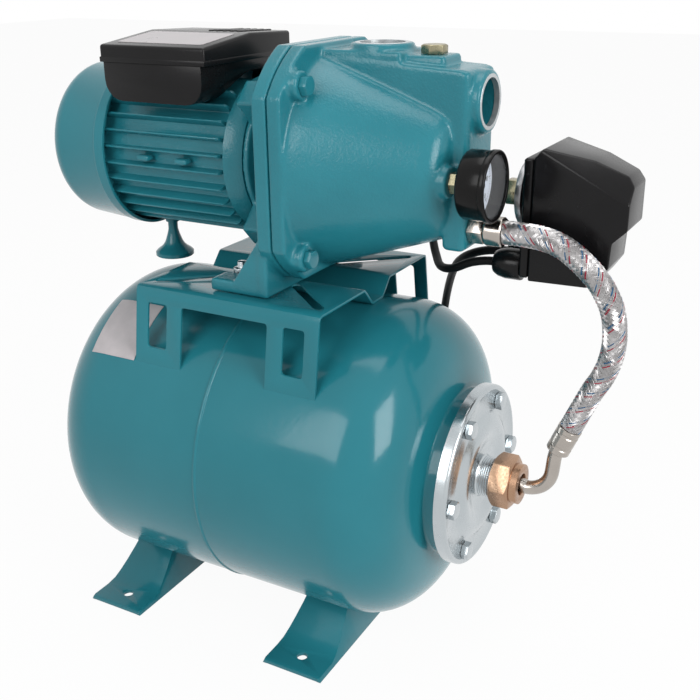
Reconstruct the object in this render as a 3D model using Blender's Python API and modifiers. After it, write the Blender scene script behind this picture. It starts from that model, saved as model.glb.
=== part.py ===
# Booster pump set: a self-priming pump on a horizontal pressure tank.
# Metres, +Z up. X runs along the shaft, from the fan cover to the suction port.
# The front of the set, with the terminal box, faces -Y. Z = 0 is the floor.
# Stations along X are measured from the casing's joint face, and the whole set
# is then moved so that the origin lies under the middle of its length.

import math

import bmesh
import bpy
from mathutils import Euler, Matrix, Vector

# Clearances
gap = 0.0003
thread_gap = 0.0003

# Pressure tank
tank_radius = 0.1355
tank_length = 0.354
tank_wall = 0.0016
tank_floor_clearance = 0.0255
tank_seam_x = -0.0605
tank_knuckle = 0.0545
tank_crown = 0.36
seam_height = 0.0008
tank_sides = 40
knuckle_steps = 4
seam_width = 0.003
neck_radius = 0.046
collar_radius = 0.0695
collar_length = 0.0137
valve_hole_radius = 0.0055

# Tank flange
flange_radius = 0.0755
flange_sheet = 0.003
flange_skirt = 0.009
flange_bolt_circle = 0.063
flange_bolt_count = 6
flange_bulge = 0.0052
stub_radius = 0.0166
stub_bore = 0.0125
stub_length = 0.0150
m8_radius = 0.004
m8_across_flats = 0.013
m8_head = 0.0055
flange_bolt_length = 0.014

# Membrane
membrane_wall = 0.002
membrane_lip = 0.003
membrane_clearance = 0.0315
membrane_far_gap = 0.035
membrane_end = 0.070
membrane_neck = 0.026

# Air valve
valve_stem = 0.004
valve_length = 0.0115
valve_cap_radius = 0.011
valve_cap_length = 0.0125

# Tank feet
foot_width = 0.057
foot_left_x = -0.1777
foot_right_x = 0.0137
foot_sheet = 0.003
foot_tab_end = 0.1183
foot_tab_height = 0.004
foot_crease = 0.093
foot_ramp_top = 0.052
foot_ramp_height = 0.037
foot_taper = 0.0075
foot_hole_y = 0.1002
foot_hole_radius = 0.0045

# Pump platform
platform_rear = -0.1380
platform_front = 0.0345
platform_fold = 0.0933
platform_sheet = 0.002
platform_rise = 0.0165
platform_splay = 0.15
trough_flat = 0.009
trough_edge = 0.022
leg_width = 0.0455
window_margin = 0.0120
window_width = 0.0192
window_top_drop = 0.0127
window_height = 0.0370
opening_drop = 0.0126
opening_corner = 0.003
slot_width = 0.0085
slot_outer = (0.0755, 0.0758)
slot_inner = (0.0312, 0.0368)

# Motor and bracket
shaft_height = 0.0972
joint_flange = 0.012
flange_half = 0.084
flange_top = 0.0895
flange_corner_radius = 0.101
casing_bolt_offset = 0.0640
casing_bolt_length = 0.030
lantern_length = 0.0296
spigot_step = 0.005
hub_step = 0.0095
arm_root = 0.006
arm_width = 0.022
bearing_radius = 0.0175
bearing_width = 0.011
shaft_radius = 0.0075
seal_shaft_radius = 0.0065
impeller_shaft_radius = 0.006
seal_radius = 0.0125
base_rear = -0.0745
base_front = -0.0205
base_inset = 0.005
base_thickness = 0.010
leg_thickness = 0.0090
leg_height = 0.046
gusset_thickness = 0.008
gusset_foot = 0.0205
gusset_top = 0.033
notch_depth = 0.004
notch_length = 0.020
notch_half = 0.0095
foot_bolt_x = -0.063
foot_bolt_y = 0.0495
foot_bolt_top = 0.018
frame_ring_length = 0.0140
frame_ring_step = 0.0039
frame_body_radius = 0.0575
frame_wall = 0.007
frame_rear = -0.1900
fin_height = 0.008
fin_step = 12.0
fin_root = 0.0030
fin_tip = 0.0018
fin_blind_half = 35.0
pad_half_angle = 22.0
pad_inset = 0.020
shield_thickness = 0.006
cover_clearance = 0.0025
cover_wall = 0.0014
cover_back = -0.2393
cover_open_end = -0.1819
cover_edge_radius = 0.004
cover_lip_height = 0.0009
cover_lip_length = 0.0096
grille_slots = 12
fan_clearance = 0.010
fan_front = -0.2035
fan_back = -0.2225
fan_blades = 6
stator_bore = 0.0285
rotor_radius = 0.0280
stack_rear = -0.157
stack_front = -0.099
winding_rear = -0.172
winding_front = -0.084
support_x = -0.172
support_clearance = 0.0114
support_boss = 0.004
support_disc = 0.021

# Terminal box
box_rear = -0.1685
box_front = -0.0750
box_near = -0.0730
box_far = 0.0430
box_bottom_drop = 0.0202
box_corner = 0.016
box_wall = 0.002
lid_rear = -0.1701
lid_front = -0.0700
lid_near = -0.0750
lid_far = 0.0450
box_height = 0.0292
lid_near_height = 0.0130
lid_kink_y = -0.012
lid_kink_height = 0.0200
lid_far_height = 0.0180
capacitor_radius = 0.0135
capacitor_length = 0.062
box_gland_x = -0.105
box_gland_height = 0.0202
box_gland_radius = 0.0080
box_gland_length = 0.014

# Pump casing
cone_rear_radius = 0.084
cone_front_radius = 0.0505
cone_length = 0.104
casing_sides = 32
casing_wall = 0.0075
duct_half = 0.0255
duct_rear_top = 0.0823
duct_front_top = 0.0748
block_rear = 0.100
block_front = 0.1185
block_bottom = -0.0557
port_radius = 0.0174
discharge_x = 0.0387
discharge_radius = 0.0238
discharge_top = 0.0900
plug_x = 0.0807
plug_pad_top = 0.0828
plug_across_flats = 0.017
plug_thread = 0.0065
suction_z = 0.0512
suction_radius = 0.0228
suction_face = 0.1254
gauge_y = -0.035
gauge_z = -0.0014
small_boss_radius = 0.0120
small_thread = 0.0065
gauge_boss_face = 0.1120
switch_y = 0.036
switch_z = -0.0197
switch_boss_face = 0.1235
hose_y = -0.012
hose_z = -0.0395
corner_boss_radius = 0.0105
corner_boss_face = 0.008

# Wet end inside the casing
impeller_radius = 0.058
impeller_vanes = 6
venturi_end = 0.082
nozzle_start = 0.086

# Pressure gauge
gauge_radius = 0.0258
gauge_back = 0.1231
gauge_front = 0.1457
gauge_wall = 0.0020
dial_x = 0.1330
needle_x = 0.1350
lens_x = 0.1395
gauge_hex = 0.014

# Pressure switch
switch_hex_rear = 0.1292
switch_hex_front = 0.1388
switch_hex = 0.0185
diaphragm_rear = 0.1423
diaphragm_front = 0.1470
diaphragm_radius = 0.0243
switch_base_rear = 0.1500
switch_base_front = 0.1577
switch_near = 0.006
switch_far = 0.066
switch_wall = 0.0025
switch_low = -0.0784
gland_radius = 0.0120
gland_rear = 0.1270
gland_near_y = 0.020
gland_far_y = 0.052
gland_z = -0.0722
post_radius = 0.003
lever_x = 0.1725

# Hose and leads
hose_radius = 0.0095
ferrule_radius = 0.0112
nipple_end = 0.1450
ferrule_length = 0.0265
elbow_radius = 0.0085
elbow_reach = 0.0570
elbow_rise = 0.0600
elbow_bend = 0.0140
motor_lead_radius = 0.0035
mains_lead_radius = 0.0036
coil_turns_wide = 3
coil_turns_high = 2
coil_mean_radius = 0.0395
coil_centre = (-0.075, 0.232)
plug_radius = 0.0185
plug_length = 0.040
plug_tail = 0.0060

# Places that follow from the sizes above
frame_bore_radius = frame_body_radius - frame_wall
frame_ring_radius = frame_body_radius + frame_ring_step
fin_radius = frame_body_radius + fin_height
spigot_radius = frame_bore_radius + spigot_step
hub_radius = spigot_radius - hub_step
arm_inner = hub_radius - arm_root
arm_outer = fin_radius
cover_radius = fin_radius + cover_clearance + cover_wall
fan_radius = cover_radius - cover_wall - fan_clearance
base_half = flange_half - base_inset
membrane_radius = tank_radius - membrane_clearance
box_bottom = fin_radius - box_bottom_drop
box_gland_z = box_bottom + box_gland_height
lid_bottom = box_bottom + box_height
lid_near_top = lid_bottom + lid_near_height
lid_kink_top = lid_bottom + lid_kink_height
lid_far_top = lid_bottom + lid_far_height
tank_z = tank_floor_clearance + tank_radius
platform_z = tank_z + tank_radius + platform_rise
shaft_z = platform_z + shaft_height
tank_half = tank_length / 2
bracket_face = -joint_flange - gap
bracket_back = bracket_face - joint_flange
motor_face = bracket_back - lantern_length
switch_front = 0.2386
valve_cap_end = tank_seam_x - tank_half - 0.0024 - valve_cap_length - gap
middle_x = (valve_cap_end + switch_front) / 2


def reset_scene():
    for old in list(bpy.data.objects):
        bpy.data.objects.remove(old, do_unlink=True)


reset_scene()
parts = bpy.data.collections.new("booster_pump_set")
tools = bpy.data.collections.new("cutters")
bpy.context.scene.collection.children.link(parts)
bpy.context.scene.collection.children.link(tools)

origin = bpy.data.objects.new("origin", None)
origin.location = (-middle_x, 0, 0)
parts.objects.link(origin)


def make_material(name, colour, roughness, metallic=0.0):
    material = bpy.data.materials.new(name)
    material.use_nodes = True
    shader = material.node_tree.nodes["Principled BSDF"]
    shader.inputs["Base Color"].default_value = (*colour, 1)
    shader.inputs["Roughness"].default_value = roughness
    shader.inputs["Metallic"].default_value = metallic
    material.diffuse_color = (*colour, 1)
    return material


teal_paint = make_material("teal_paint", (0.035, 0.235, 0.275), 0.32)
black_plastic = make_material("black_plastic", (0.012, 0.012, 0.014), 0.35)
black_rubber = make_material("black_rubber", (0.02, 0.02, 0.02), 0.7)
zinc_plate = make_material("zinc_plate", (0.72, 0.74, 0.76), 0.3, 1.0)
brass = make_material("brass", (0.55, 0.38, 0.16), 0.35, 1.0)
nickel = make_material("nickel", (0.65, 0.6, 0.53), 0.25, 1.0)
steel = make_material("steel", (0.5, 0.5, 0.5), 0.4, 1.0)
braid = make_material("braid", (0.6, 0.6, 0.6), 0.4, 0.8)
copper = make_material("copper", (0.5, 0.2, 0.09), 0.4, 0.8)
white_dial = make_material("white_dial", (0.85, 0.85, 0.85), 0.5)
clear_lens = make_material("clear_lens", (0.9, 0.93, 0.95), 0.05)
grey_plastic = make_material("grey_plastic", (0.3, 0.3, 0.31), 0.5)


# Building helpers

def adopt(obj, material=None, tool=False):
    """Puts an object in its collection, under the origin."""
    if tool:
        tools.objects.link(obj)
        obj.hide_render = True
        obj.display_type = "WIRE"
    else:
        parts.objects.link(obj)
        obj.data.materials.append(material)
    obj.parent = origin
    return obj


def mesh_object(name, mesh_builder, material=None, tool=False):
    mesh = bpy.data.meshes.new(name)
    bm = bmesh.new()
    mesh_builder(bm)
    bm.to_mesh(mesh)
    bm.free()
    return adopt(bpy.data.objects.new(name, mesh), material, tool)


def turn_to(obj, axis):
    """Turns an object's own Z axis to the named axis of the set."""
    turns = {"X": (0, math.pi / 2, 0), "Y": (-math.pi / 2, 0, 0), "Z": (0, 0, 0)}
    obj.rotation_euler = Euler(turns[axis])
    return obj


def signed_area(points):
    pairs = zip(points, points[1:] + points[:1])
    return sum(a[0] * b[1] - b[0] * a[1] for a, b in pairs) / 2


def smooth_sides(mesh, angle=35.0):
    mesh.shade_smooth()
    mesh.set_sharp_from_angle(angle=math.radians(angle))


def turned(name, profile, centre, axis, steps, material=None, tool=False):
    """A shape turned about its axis from (along, radius) points.
    A profile that ends on the axis is solid; any other is a closed ring."""
    points = [(radius, along) for along, radius in profile]
    if signed_area(points) > 0:
        points.reverse()
    closed = points[0][0] > 0 or points[-1][0] > 0

    def build(bm):
        verts = [bm.verts.new((radius, 0, along)) for radius, along in points]
        for first, second in zip(verts, verts[1:]):
            bm.edges.new((first, second))
        if closed:
            bm.edges.new((verts[-1], verts[0]))

    obj = turn_to(mesh_object(name, build, material, tool), axis)
    obj.location = centre
    screw = obj.modifiers.new("turn", "SCREW")
    screw.axis = "Z"
    screw.angle = 2 * math.pi
    screw.steps = steps
    screw.render_steps = steps
    screw.use_merge_vertices = True
    screw.merge_threshold = 0.00005
    screw.use_smooth_shade = False
    return obj


def rod(name, centre, axis, radius, low, high, sides, material=None, tool=False):
    """A round or, with few sides, a polygonal bar between two stations on its axis.
    A round one is turned a little, so that its facets stay off its neighbours' lines."""
    turn = 0.1 if sides > 8 else 0.0

    def build(bm):
        place = Matrix.Translation((0, 0, (low + high) / 2)) @ Matrix.Rotation(turn, 4, "Z")
        bmesh.ops.create_cone(bm, cap_ends=True, segments=sides, radius1=radius,
                              radius2=radius, depth=high - low, matrix=place)
    obj = turn_to(mesh_object(name, build, material, tool), axis)
    obj.location = centre
    return obj


def box(name, low, high, material=None, tool=False, rounding=0.0, rounding_steps=2):
    """A box between two corners, with its edges rounded if asked."""
    low, high = Vector(low), Vector(high)

    def build(bm):
        size = high - low
        bmesh.ops.create_cube(bm, size=1.0, matrix=Matrix.Diagonal((*size, 1)))
    obj = mesh_object(name, build, material, tool)
    obj.location = (low + high) / 2
    if rounding:
        bevel = obj.modifiers.new("rounding", "BEVEL")
        bevel.width = rounding
        bevel.segments = rounding_steps
    return obj


def as_mesh(name, curve_object):
    """Makes a curve a closed mesh object's data, and removes the curve."""
    bpy.context.scene.collection.objects.link(curve_object)
    bpy.context.view_layer.update()
    evaluated = curve_object.evaluated_get(bpy.context.evaluated_depsgraph_get())
    mesh = bpy.data.meshes.new_from_object(evaluated)
    mesh.name = name
    bm = bmesh.new()
    bm.from_mesh(mesh)
    bmesh.ops.remove_doubles(bm, verts=bm.verts, dist=0.00001)
    bm.to_mesh(mesh)
    bm.free()
    mesh.materials.clear()
    curve_data = curve_object.data
    bpy.data.objects.remove(curve_object)
    bpy.data.curves.remove(curve_data)
    return mesh


def prism(name, outlines, low, high, axis, material=None, tool=False):
    """Outlines pushed along an axis. The first outline may hold others as holes.
    Outline points are (Y, Z) along X, (X, Z) along Y and (X, Y) along Z."""
    curve = bpy.data.curves.new(name, "CURVE")
    curve.dimensions = "2D"
    curve.fill_mode = "BOTH"
    curve.extrude = (high - low) / 2
    for outline in outlines:
        spline = curve.splines.new("POLY")
        spline.points.add(len(outline) - 1)
        for point, (u, v) in zip(spline.points, outline):
            point.co = (u, v, 0, 1)
        spline.use_cyclic_u = True
    mesh = as_mesh(name, bpy.data.objects.new(name, curve))
    obj = adopt(bpy.data.objects.new(name, mesh), material, tool)
    middle = (low + high) / 2
    if axis == "X":
        obj.rotation_euler = Matrix(((0, 0, 1), (1, 0, 0), (0, 1, 0))).to_euler()
        obj.location = (middle, 0, 0)
    elif axis == "Y":
        obj.rotation_euler = Euler((math.pi / 2, 0, 0))
        obj.location = (0, middle, 0)
    else:
        obj.location = (0, 0, middle)
    return obj


def tube(name, points, radius, sides_level, material=None, tool=False):
    """A round wire along points."""
    curve = bpy.data.curves.new(name, "CURVE")
    curve.dimensions = "3D"
    curve.bevel_depth = radius
    curve.bevel_resolution = sides_level
    curve.use_fill_caps = True
    spline = curve.splines.new("POLY")
    spline.points.add(len(points) - 1)
    for point, place in zip(spline.points, points):
        point.co = (*place, 1)
    obj = bpy.data.objects.new(name, curve)
    if tool:
        mesh = as_mesh(name, obj)
        return adopt(bpy.data.objects.new(name, mesh), None, True)
    return adopt(obj, material)


def combine(target, operation, pieces):
    for piece in pieces:
        step = target.modifiers.new(piece.name, "BOOLEAN")
        step.operation = operation
        step.solver = "EXACT"
        step.object = piece


def carve(target, *pieces):
    combine(target, "DIFFERENCE", pieces)


def fuse(target, *pieces):
    combine(target, "UNION", pieces)


def settle(obj, angle=35.0):
    """Applies an object's modifiers to its mesh, so that copies can share it."""
    bpy.context.view_layer.update()
    evaluated = obj.evaluated_get(bpy.context.evaluated_depsgraph_get())
    mesh = bpy.data.meshes.new_from_object(evaluated)
    old_mesh = obj.data
    obj.modifiers.clear()
    obj.data = mesh
    bpy.data.meshes.remove(old_mesh)
    mesh.name = obj.name
    smooth_sides(mesh, angle)
    return mesh


def polar(centre, radius, degrees):
    angle = math.radians(degrees)
    return (centre[0] + radius * math.cos(angle), centre[1] + radius * math.sin(angle))


def arc(centre, radius, start, end, steps):
    """Points on an arc, with its angles in degrees."""
    return [polar(centre, radius, start + (end - start) * step / steps) for step in range(steps + 1)]


def rounded(points, radius, steps=3, closed=True):
    """An outline with each corner turned into an arc of the radius."""
    result = []
    count = len(points)
    for index, corner in enumerate(points):
        if not closed and index in (0, count - 1):
            result.append(tuple(corner))
            continue
        here = Vector(corner)
        before = Vector(points[index - 1]) - here
        after = Vector(points[(index + 1) % count]) - here
        half_angle = before.angle(after) / 2
        reach = min(radius / math.tan(half_angle), before.length * 0.45, after.length * 0.45)
        start = here + before.normalized() * reach
        end = here + after.normalized() * reach
        for step in range(steps + 1):
            share = step / steps
            place = start.lerp(here, share).lerp(here.lerp(end, share), share)
            result.append((place.x, place.y))
    return result


def rectangle(low, high):
    return [(low[0], low[1]), (high[0], low[1]), (high[0], high[1]), (low[0], high[1])]


def sheet_outline(line, thickness):
    """A closed outline of even thickness about an open line, with mitred corners."""
    sides = ([], [])
    for index, point in enumerate(line):
        here = Vector(point)
        before = here - Vector(line[index - 1]) if index else None
        after = Vector(line[index + 1]) - here if index < len(line) - 1 else None
        first = (before or after).normalized()
        second = (after or before).normalized()
        bisector = (first + second).normalized()
        normal = Vector((-bisector.y, bisector.x))
        reach = thickness / 2 / max(0.3, normal.dot(Vector((-first.y, first.x))))
        sides[0].append(tuple(here + normal * reach))
        sides[1].append(tuple(here - normal * reach))
    return sides[0] + sides[1][::-1]


def smooth_route(route, spacing):
    """Points at an even spacing on a smooth curve through the route's points."""
    knots = [Vector(point) for point in route]
    knots = [2 * knots[0] - knots[1]] + knots + [2 * knots[-1] - knots[-2]]
    dense = []
    for p0, p1, p2, p3 in zip(knots, knots[1:], knots[2:], knots[3:]):
        t1 = (p1 - p0).length ** 0.5
        t2 = t1 + (p2 - p1).length ** 0.5
        t3 = t2 + (p3 - p2).length ** 0.5
        for step in range(24):
            t = t1 + (t2 - t1) * step / 24
            a1 = p0.lerp(p1, t / t1)
            a2 = p1.lerp(p2, (t - t1) / (t2 - t1))
            a3 = p2.lerp(p3, (t - t2) / (t3 - t2))
            b1 = a1.lerp(a2, t / t2)
            b2 = a2.lerp(a3, (t - t1) / (t3 - t1))
            dense.append(b1.lerp(b2, (t - t1) / (t2 - t1)))
    dense.append(knots[-2])
    lengths = [0.0]
    for first, second in zip(dense, dense[1:]):
        lengths.append(lengths[-1] + (second - first).length)
    count = max(2, round(lengths[-1] / spacing))
    points = []
    index = 0
    for step in range(count + 1):
        target = lengths[-1] * step / count
        while index < len(dense) - 2 and lengths[index + 1] < target:
            index += 1
        span = lengths[index + 1] - lengths[index]
        points.append(dense[index].lerp(dense[index + 1], (target - lengths[index]) / span))
    return points


def hex_bolt_mesh(name, across_flats, head, shank_radius, shank):
    """A hex head above z = 0 with its shank below."""
    bolt = rod(name, (0, 0, 0), "Z", across_flats / math.sqrt(3), 0, head, 6, tool=True)
    stem = rod(name + "_stem", (0, 0, 0), "Z", shank_radius, -shank, head / 2, 12, tool=True)
    fuse(bolt, stem)
    mesh = settle(bolt)
    bpy.data.objects.remove(bolt)
    bpy.data.objects.remove(stem)
    return mesh


def place_mesh(name, mesh, location, axis, material):
    obj = bpy.data.objects.new(name, mesh)
    parts.objects.link(obj)
    if not mesh.materials:
        mesh.materials.append(material)
    obj.parent = origin
    obj.location = location
    turn_to(obj, axis)
    return obj


# Pressure tank

def crown_line(grow, end_radius, steps):
    """Half of the tank's outline, from the cylinder's end to a radius near the axis,
    as (distance from the seam, radius), with the wall moved outwards by grow."""
    knuckle_ring = tank_radius - tank_knuckle
    arm = tank_crown - tank_knuckle
    tangent = tank_half - tank_crown + math.sqrt(arm ** 2 - knuckle_ring ** 2)
    turn = math.acos(knuckle_ring / arm)
    points = []
    for step in range(steps + 1):
        angle = turn * step / steps
        radius = tank_knuckle + grow
        points.append((tangent + radius * math.sin(angle), knuckle_ring + radius * math.cos(angle)))
    start = math.asin(points[-1][1] / (tank_crown + grow))
    end = math.asin(end_radius / (tank_crown + grow))
    for step in (1, 2):
        angle = start + (end - start) * step / 2
        radius = tank_crown + grow
        points.append((tank_half - tank_crown + radius * math.cos(angle), radius * math.sin(angle)))
    return points


def tank_line(grow, left_radius, right_radius, steps):
    """The tank's outline from left to right, as (X, radius)."""
    left = [(tank_seam_x - along, radius) for along, radius in crown_line(grow, left_radius, steps)]
    right = [(tank_seam_x + along, radius) for along, radius in crown_line(grow, right_radius, steps)]
    return left[::-1], right


def seam_line(grow):
    """The raised seam between the two halves."""
    half = seam_width / 2 + grow
    return [
        (tank_seam_x - half, tank_radius + grow), (tank_seam_x, tank_radius + seam_height + grow),
        (tank_seam_x + half, tank_radius + grow),
    ]


def crown_x(radius, grow=0.0):
    """Where the right crown stands at a radius from the tank's axis."""
    reach = tank_crown + grow
    return tank_seam_x + tank_half - tank_crown + math.sqrt(reach ** 2 - radius ** 2)


collar_face = crown_x(collar_radius) + collar_length
tank_centre = (0, 0, tank_z)


def flange_bolt_places(x):
    places = []
    for index in range(flange_bolt_count):
        angle = 2 * math.pi * index / flange_bolt_count
        across = flange_bolt_circle * math.cos(angle)
        up = flange_bolt_circle * math.sin(angle)
        places.append((x, across, tank_z + up))
    return places


def build_tank():
    left, right = tank_line(0, valve_hole_radius, collar_radius, knuckle_steps)
    bead = seam_line(0)
    inner_left, inner_right = tank_line(-tank_wall, valve_hole_radius, neck_radius, 2)
    collar = [(collar_face, collar_radius), (collar_face, neck_radius)]
    profile = left + bead + right + collar + inner_right[::-1] + inner_left[::-1]
    shell = turned("tank_shell", profile, tank_centre, "X", tank_sides, teal_paint)
    depth = flange_bolt_length - flange_sheet - membrane_lip
    for index, place in enumerate(flange_bolt_places(0)):
        hole = rod("collar_hole_%d" % index, place, "X", m8_radius + thread_gap,
                   collar_face - depth, collar_face + gap, 12, tool=True)
        carve(shell, hole)


def tank_cutter(name):
    """The tank's outer form with a running gap, as a solid that cuts what seats on it."""
    left, right = tank_line(gap, 0.001, 0.001, knuckle_steps)
    ends = [(left[0][0] - 0.0001, 0.0)], [(right[-1][0] + 0.0001, 0.0)]
    profile = ends[0] + left + seam_line(gap) + right + ends[1]
    return turned(name, profile, tank_centre, "X", tank_sides, tool=True)


def build_membrane():
    mouth = neck_radius - gap
    lip_face = collar_face + gap + membrane_lip
    lip_radius = flange_bolt_circle - m8_radius - thread_gap - 0.002
    far = tank_seam_x - tank_half + membrane_far_gap
    shoulder = crown_x(neck_radius) - membrane_neck
    bag = [
        (far, membrane_radius * 0.3), (far + membrane_end * 0.35, membrane_radius * 0.68),
        (far + membrane_end, membrane_radius), (shoulder - membrane_end * 0.75, membrane_radius),
        (shoulder - membrane_end * 0.2, membrane_radius * 0.63), (shoulder, mouth),
    ]
    inner_bag = [(far + membrane_wall, membrane_radius * 0.29),
                 (far + membrane_end * 0.35 + membrane_wall * 0.75, membrane_radius * 0.66)]
    inner_bag += [(along, radius - membrane_wall) for along, radius in bag[2:]]
    lip = [
        (collar_face + gap, mouth), (collar_face + gap, lip_radius), (lip_face, lip_radius),
        (lip_face, mouth - membrane_wall),
    ]
    profile = [(far, 0.0)] + bag + lip + inner_bag[::-1] + [(far + membrane_wall, 0.0)]
    turned("tank_membrane", profile, tank_centre, "X", 24, black_rubber)


flange_back = collar_face + gap + membrane_lip + gap
flange_face = flange_back + flange_sheet
stub_end = flange_face + stub_length


def build_flange():
    back, face = flange_back, flange_face
    skirt_end = face - flange_skirt
    crest = flange_bulge
    outer = [
        (skirt_end, flange_radius), (face - 0.0016, flange_radius), (face, flange_radius - 0.0016),
        (face, 0.0540), (face + crest * 0.75, 0.0470), (face + crest, 0.0400),
        (face + crest * 0.35, 0.0270), (face + crest * 0.35, stub_radius),
        (stub_end, stub_radius), (stub_end, stub_bore),
    ]
    inner = [
        (back + crest * 0.35, stub_bore), (back + crest * 0.35, 0.0270), (back + crest, 0.0395),
        (back + crest * 0.75, 0.0460), (back, 0.0530),
        (back, flange_radius - flange_sheet), (skirt_end, flange_radius - flange_sheet),
    ]
    flange = turned("tank_flange", outer + inner, tank_centre, "X", 32, zinc_plate)
    for index, place in enumerate(flange_bolt_places(0)):
        hole = rod("flange_hole_%d" % index, place, "X", m8_radius + thread_gap,
                   back - 0.001, face + 0.001, 12, tool=True)
        carve(flange, hole)
    mesh = hex_bolt_mesh("flange_bolt", m8_across_flats, m8_head, m8_radius, flange_bolt_length)
    for index, place in enumerate(flange_bolt_places(face + gap)):
        place_mesh("flange_bolt_%d" % (index + 1), mesh, place, "X", zinc_plate)


def build_air_valve():
    wall = tank_seam_x - tank_half
    inside = valve_hole_radius - gap
    profile = [
        (wall + 0.006, 0.0), (wall + 0.006, inside), (wall - gap, inside), (wall - gap, 0.0090),
        (wall - 0.0022, 0.0090), (wall - 0.0022, valve_stem), (wall - valve_length, valve_stem),
        (wall - valve_length, 0.0),
    ]
    turned("air_valve", profile, tank_centre, "X", 16, brass)
    start = wall - 0.0022 - gap
    bottom = start - valve_cap_length + 0.0015
    cap = [
        (start, valve_stem + gap), (start, valve_cap_radius), (valve_cap_end + 0.0015, valve_cap_radius),
        (valve_cap_end, valve_cap_radius - 0.0015), (valve_cap_end, 0.0),
        (bottom, 0.0), (bottom, valve_stem + gap),
    ]
    turned("air_valve_cap", cap, tank_centre, "X", 16, black_plastic)


# Tank feet

def foot_section(y, half_top, height):
    """One section of the folded channel: flanges that splay down to the floor."""
    half = foot_width / 2
    sheet = foot_sheet
    return [
        (-half, y, 0), (-half_top, y, height), (half_top, y, height), (half, y, 0),
        (half - sheet, y, 0), (half_top - sheet * 0.8, y, height - sheet),
        (-half_top + sheet * 0.8, y, height - sheet), (-half + sheet, y, 0),
    ]


def build_foot(name, x):
    half = foot_width / 2
    stations = [(foot_tab_end, 0.0), (foot_tab_end - 0.003, 0.0), (foot_crease + 0.004, 0.0)]
    stations += [(foot_crease + (foot_ramp_top - foot_crease) * s, s) for s in (0.12, 0.3, 0.5, 0.75, 1.0)]
    sections = []
    for y, share in stations:
        lift = share ** 1.25
        height = foot_tab_height + (foot_ramp_height - foot_tab_height) * lift
        sections.append(foot_section(y, half - 0.0012 - foot_taper * share, height))
    sections[0] = foot_section(foot_tab_end, half - 0.0016, foot_tab_height - 0.0008)
    reach = half - foot_taper
    sections.append(foot_section(foot_ramp_top * 0.6, reach, foot_ramp_height + 0.012))
    sections.append(foot_section(0.0, reach, foot_ramp_height + 0.016))

    def build(bm):
        rings = [[bm.verts.new(point) for point in section] for section in sections]
        for ring, following in zip(rings, rings[1:]):
            for index in range(8):
                after = (index + 1) % 8
                bm.faces.new((ring[index], ring[after], following[after], following[index]))
        bm.faces.new(rings[0][::-1])
        bmesh.ops.recalc_face_normals(bm, faces=bm.faces)

    foot = mesh_object(name, build, teal_paint)
    foot.location = (x, 0, 0)
    mirror = foot.modifiers.new("other_half", "MIRROR")
    mirror.use_axis = (False, True, False)
    mirror.merge_threshold = 0.00005
    carve(foot, tank_cutter(name + "_tank"))
    for side in (-1, 1):
        hole = rod("%s_hole_%d" % (name, side), (x, side * foot_hole_y, 0), "Z", foot_hole_radius,
                   -0.001, 0.03, 20, tool=True)
        carve(foot, hole)


# Pump platform

def build_platform():
    half_sheet = platform_sheet / 2
    top = platform_z - half_sheet
    trough = tank_z + tank_radius + gap + half_sheet
    leg_end = tank_z + 0.045
    leg_y = platform_fold + platform_splay * (platform_z - leg_end)
    half_line = [
        (trough_flat, trough), (trough_edge, top), (platform_fold - half_sheet, top),
        (leg_y - half_sheet, leg_end),
    ]
    line = [(-y, z) for y, z in half_line[::-1]] + half_line
    outline = sheet_outline(rounded(line, 0.004, 2, closed=False), platform_sheet)
    sheet = prism("pump_platform", [outline], platform_rear, platform_front, "X", teal_paint)
    carve(sheet, tank_cutter("platform_tank"))
    opening = rectangle((platform_rear + leg_width, leg_end - 0.01),
                        (platform_front - leg_width, platform_z - opening_drop))
    opening = rounded(opening, opening_corner)
    for side in (-1, 1):
        low, high = sorted((side * (platform_fold - 0.012), side * (leg_y + 0.01)))
        carve(sheet, prism("opening_%d" % side, [opening], low, high, "Y", tool=True))
        starts = (platform_rear + window_margin, platform_front - window_margin - window_width)
        for number, start in enumerate(starts):
            window = rectangle((start, platform_z - window_top_drop - window_height),
                               (start + window_width, platform_z - window_top_drop))
            window = rounded(window, opening_corner)
            carve(sheet, prism("window_%d_%d" % (side, number), [window], low, high, "Y", tool=True))
        carve_slots(sheet, side)
        hole = rod("platform_hole_%d" % side, (foot_bolt_x, side * foot_bolt_y, platform_z), "Z",
                   m8_radius + thread_gap, -0.01, 0.01, 12, tool=True)
        carve(sheet, hole)


def carve_slots(sheet, side):
    """Two slanted slots on one side of the platform, for the bolts of other pumps."""
    middle = (platform_rear + platform_front) / 2
    for end in (-1, 1):
        outer = Vector((middle + end * slot_outer[0], side * slot_outer[1]))
        inner = Vector((middle + end * slot_inner[0], side * slot_inner[1]))
        angle = math.degrees(math.atan2(outer.y - inner.y, outer.x - inner.x))
        radius = slot_width / 2
        outline = arc(outer, radius, angle - 90, angle + 90, 6) + arc(inner, radius, angle + 90, angle + 270, 6)
        cutter = prism("slot_%d_%d" % (side, end), [outline], platform_z - 0.01, platform_z + 0.01,
                       "Z", tool=True)
        carve(sheet, cutter)


# Bracket between motor and pump

def joint_outline():
    """The flange outline: a square whose corners are cut by a circle, as (Y, Z)."""
    side = math.degrees(math.acos(flange_half / flange_corner_radius))
    top = math.degrees(math.asin(flange_top / flange_corner_radius))
    bottom = math.degrees(math.asin(flange_half / flange_corner_radius))
    centre = (0, shaft_z)
    points = arc(centre, flange_corner_radius, side, top, 4)
    points += arc(centre, flange_corner_radius, 180 - top, 180 - side, 4)
    points += arc(centre, flange_corner_radius, 180 + side, 180 + bottom, 4)
    points += arc(centre, flange_corner_radius, 360 - bottom, 360 - side, 4)
    return points


def corner_places(x):
    offset = casing_bolt_offset
    corners = ((-1, 1), (1, 1), (1, -1), (-1, -1))
    return [(x, offset * side, shaft_z + offset * up) for side, up in corners]


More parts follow.
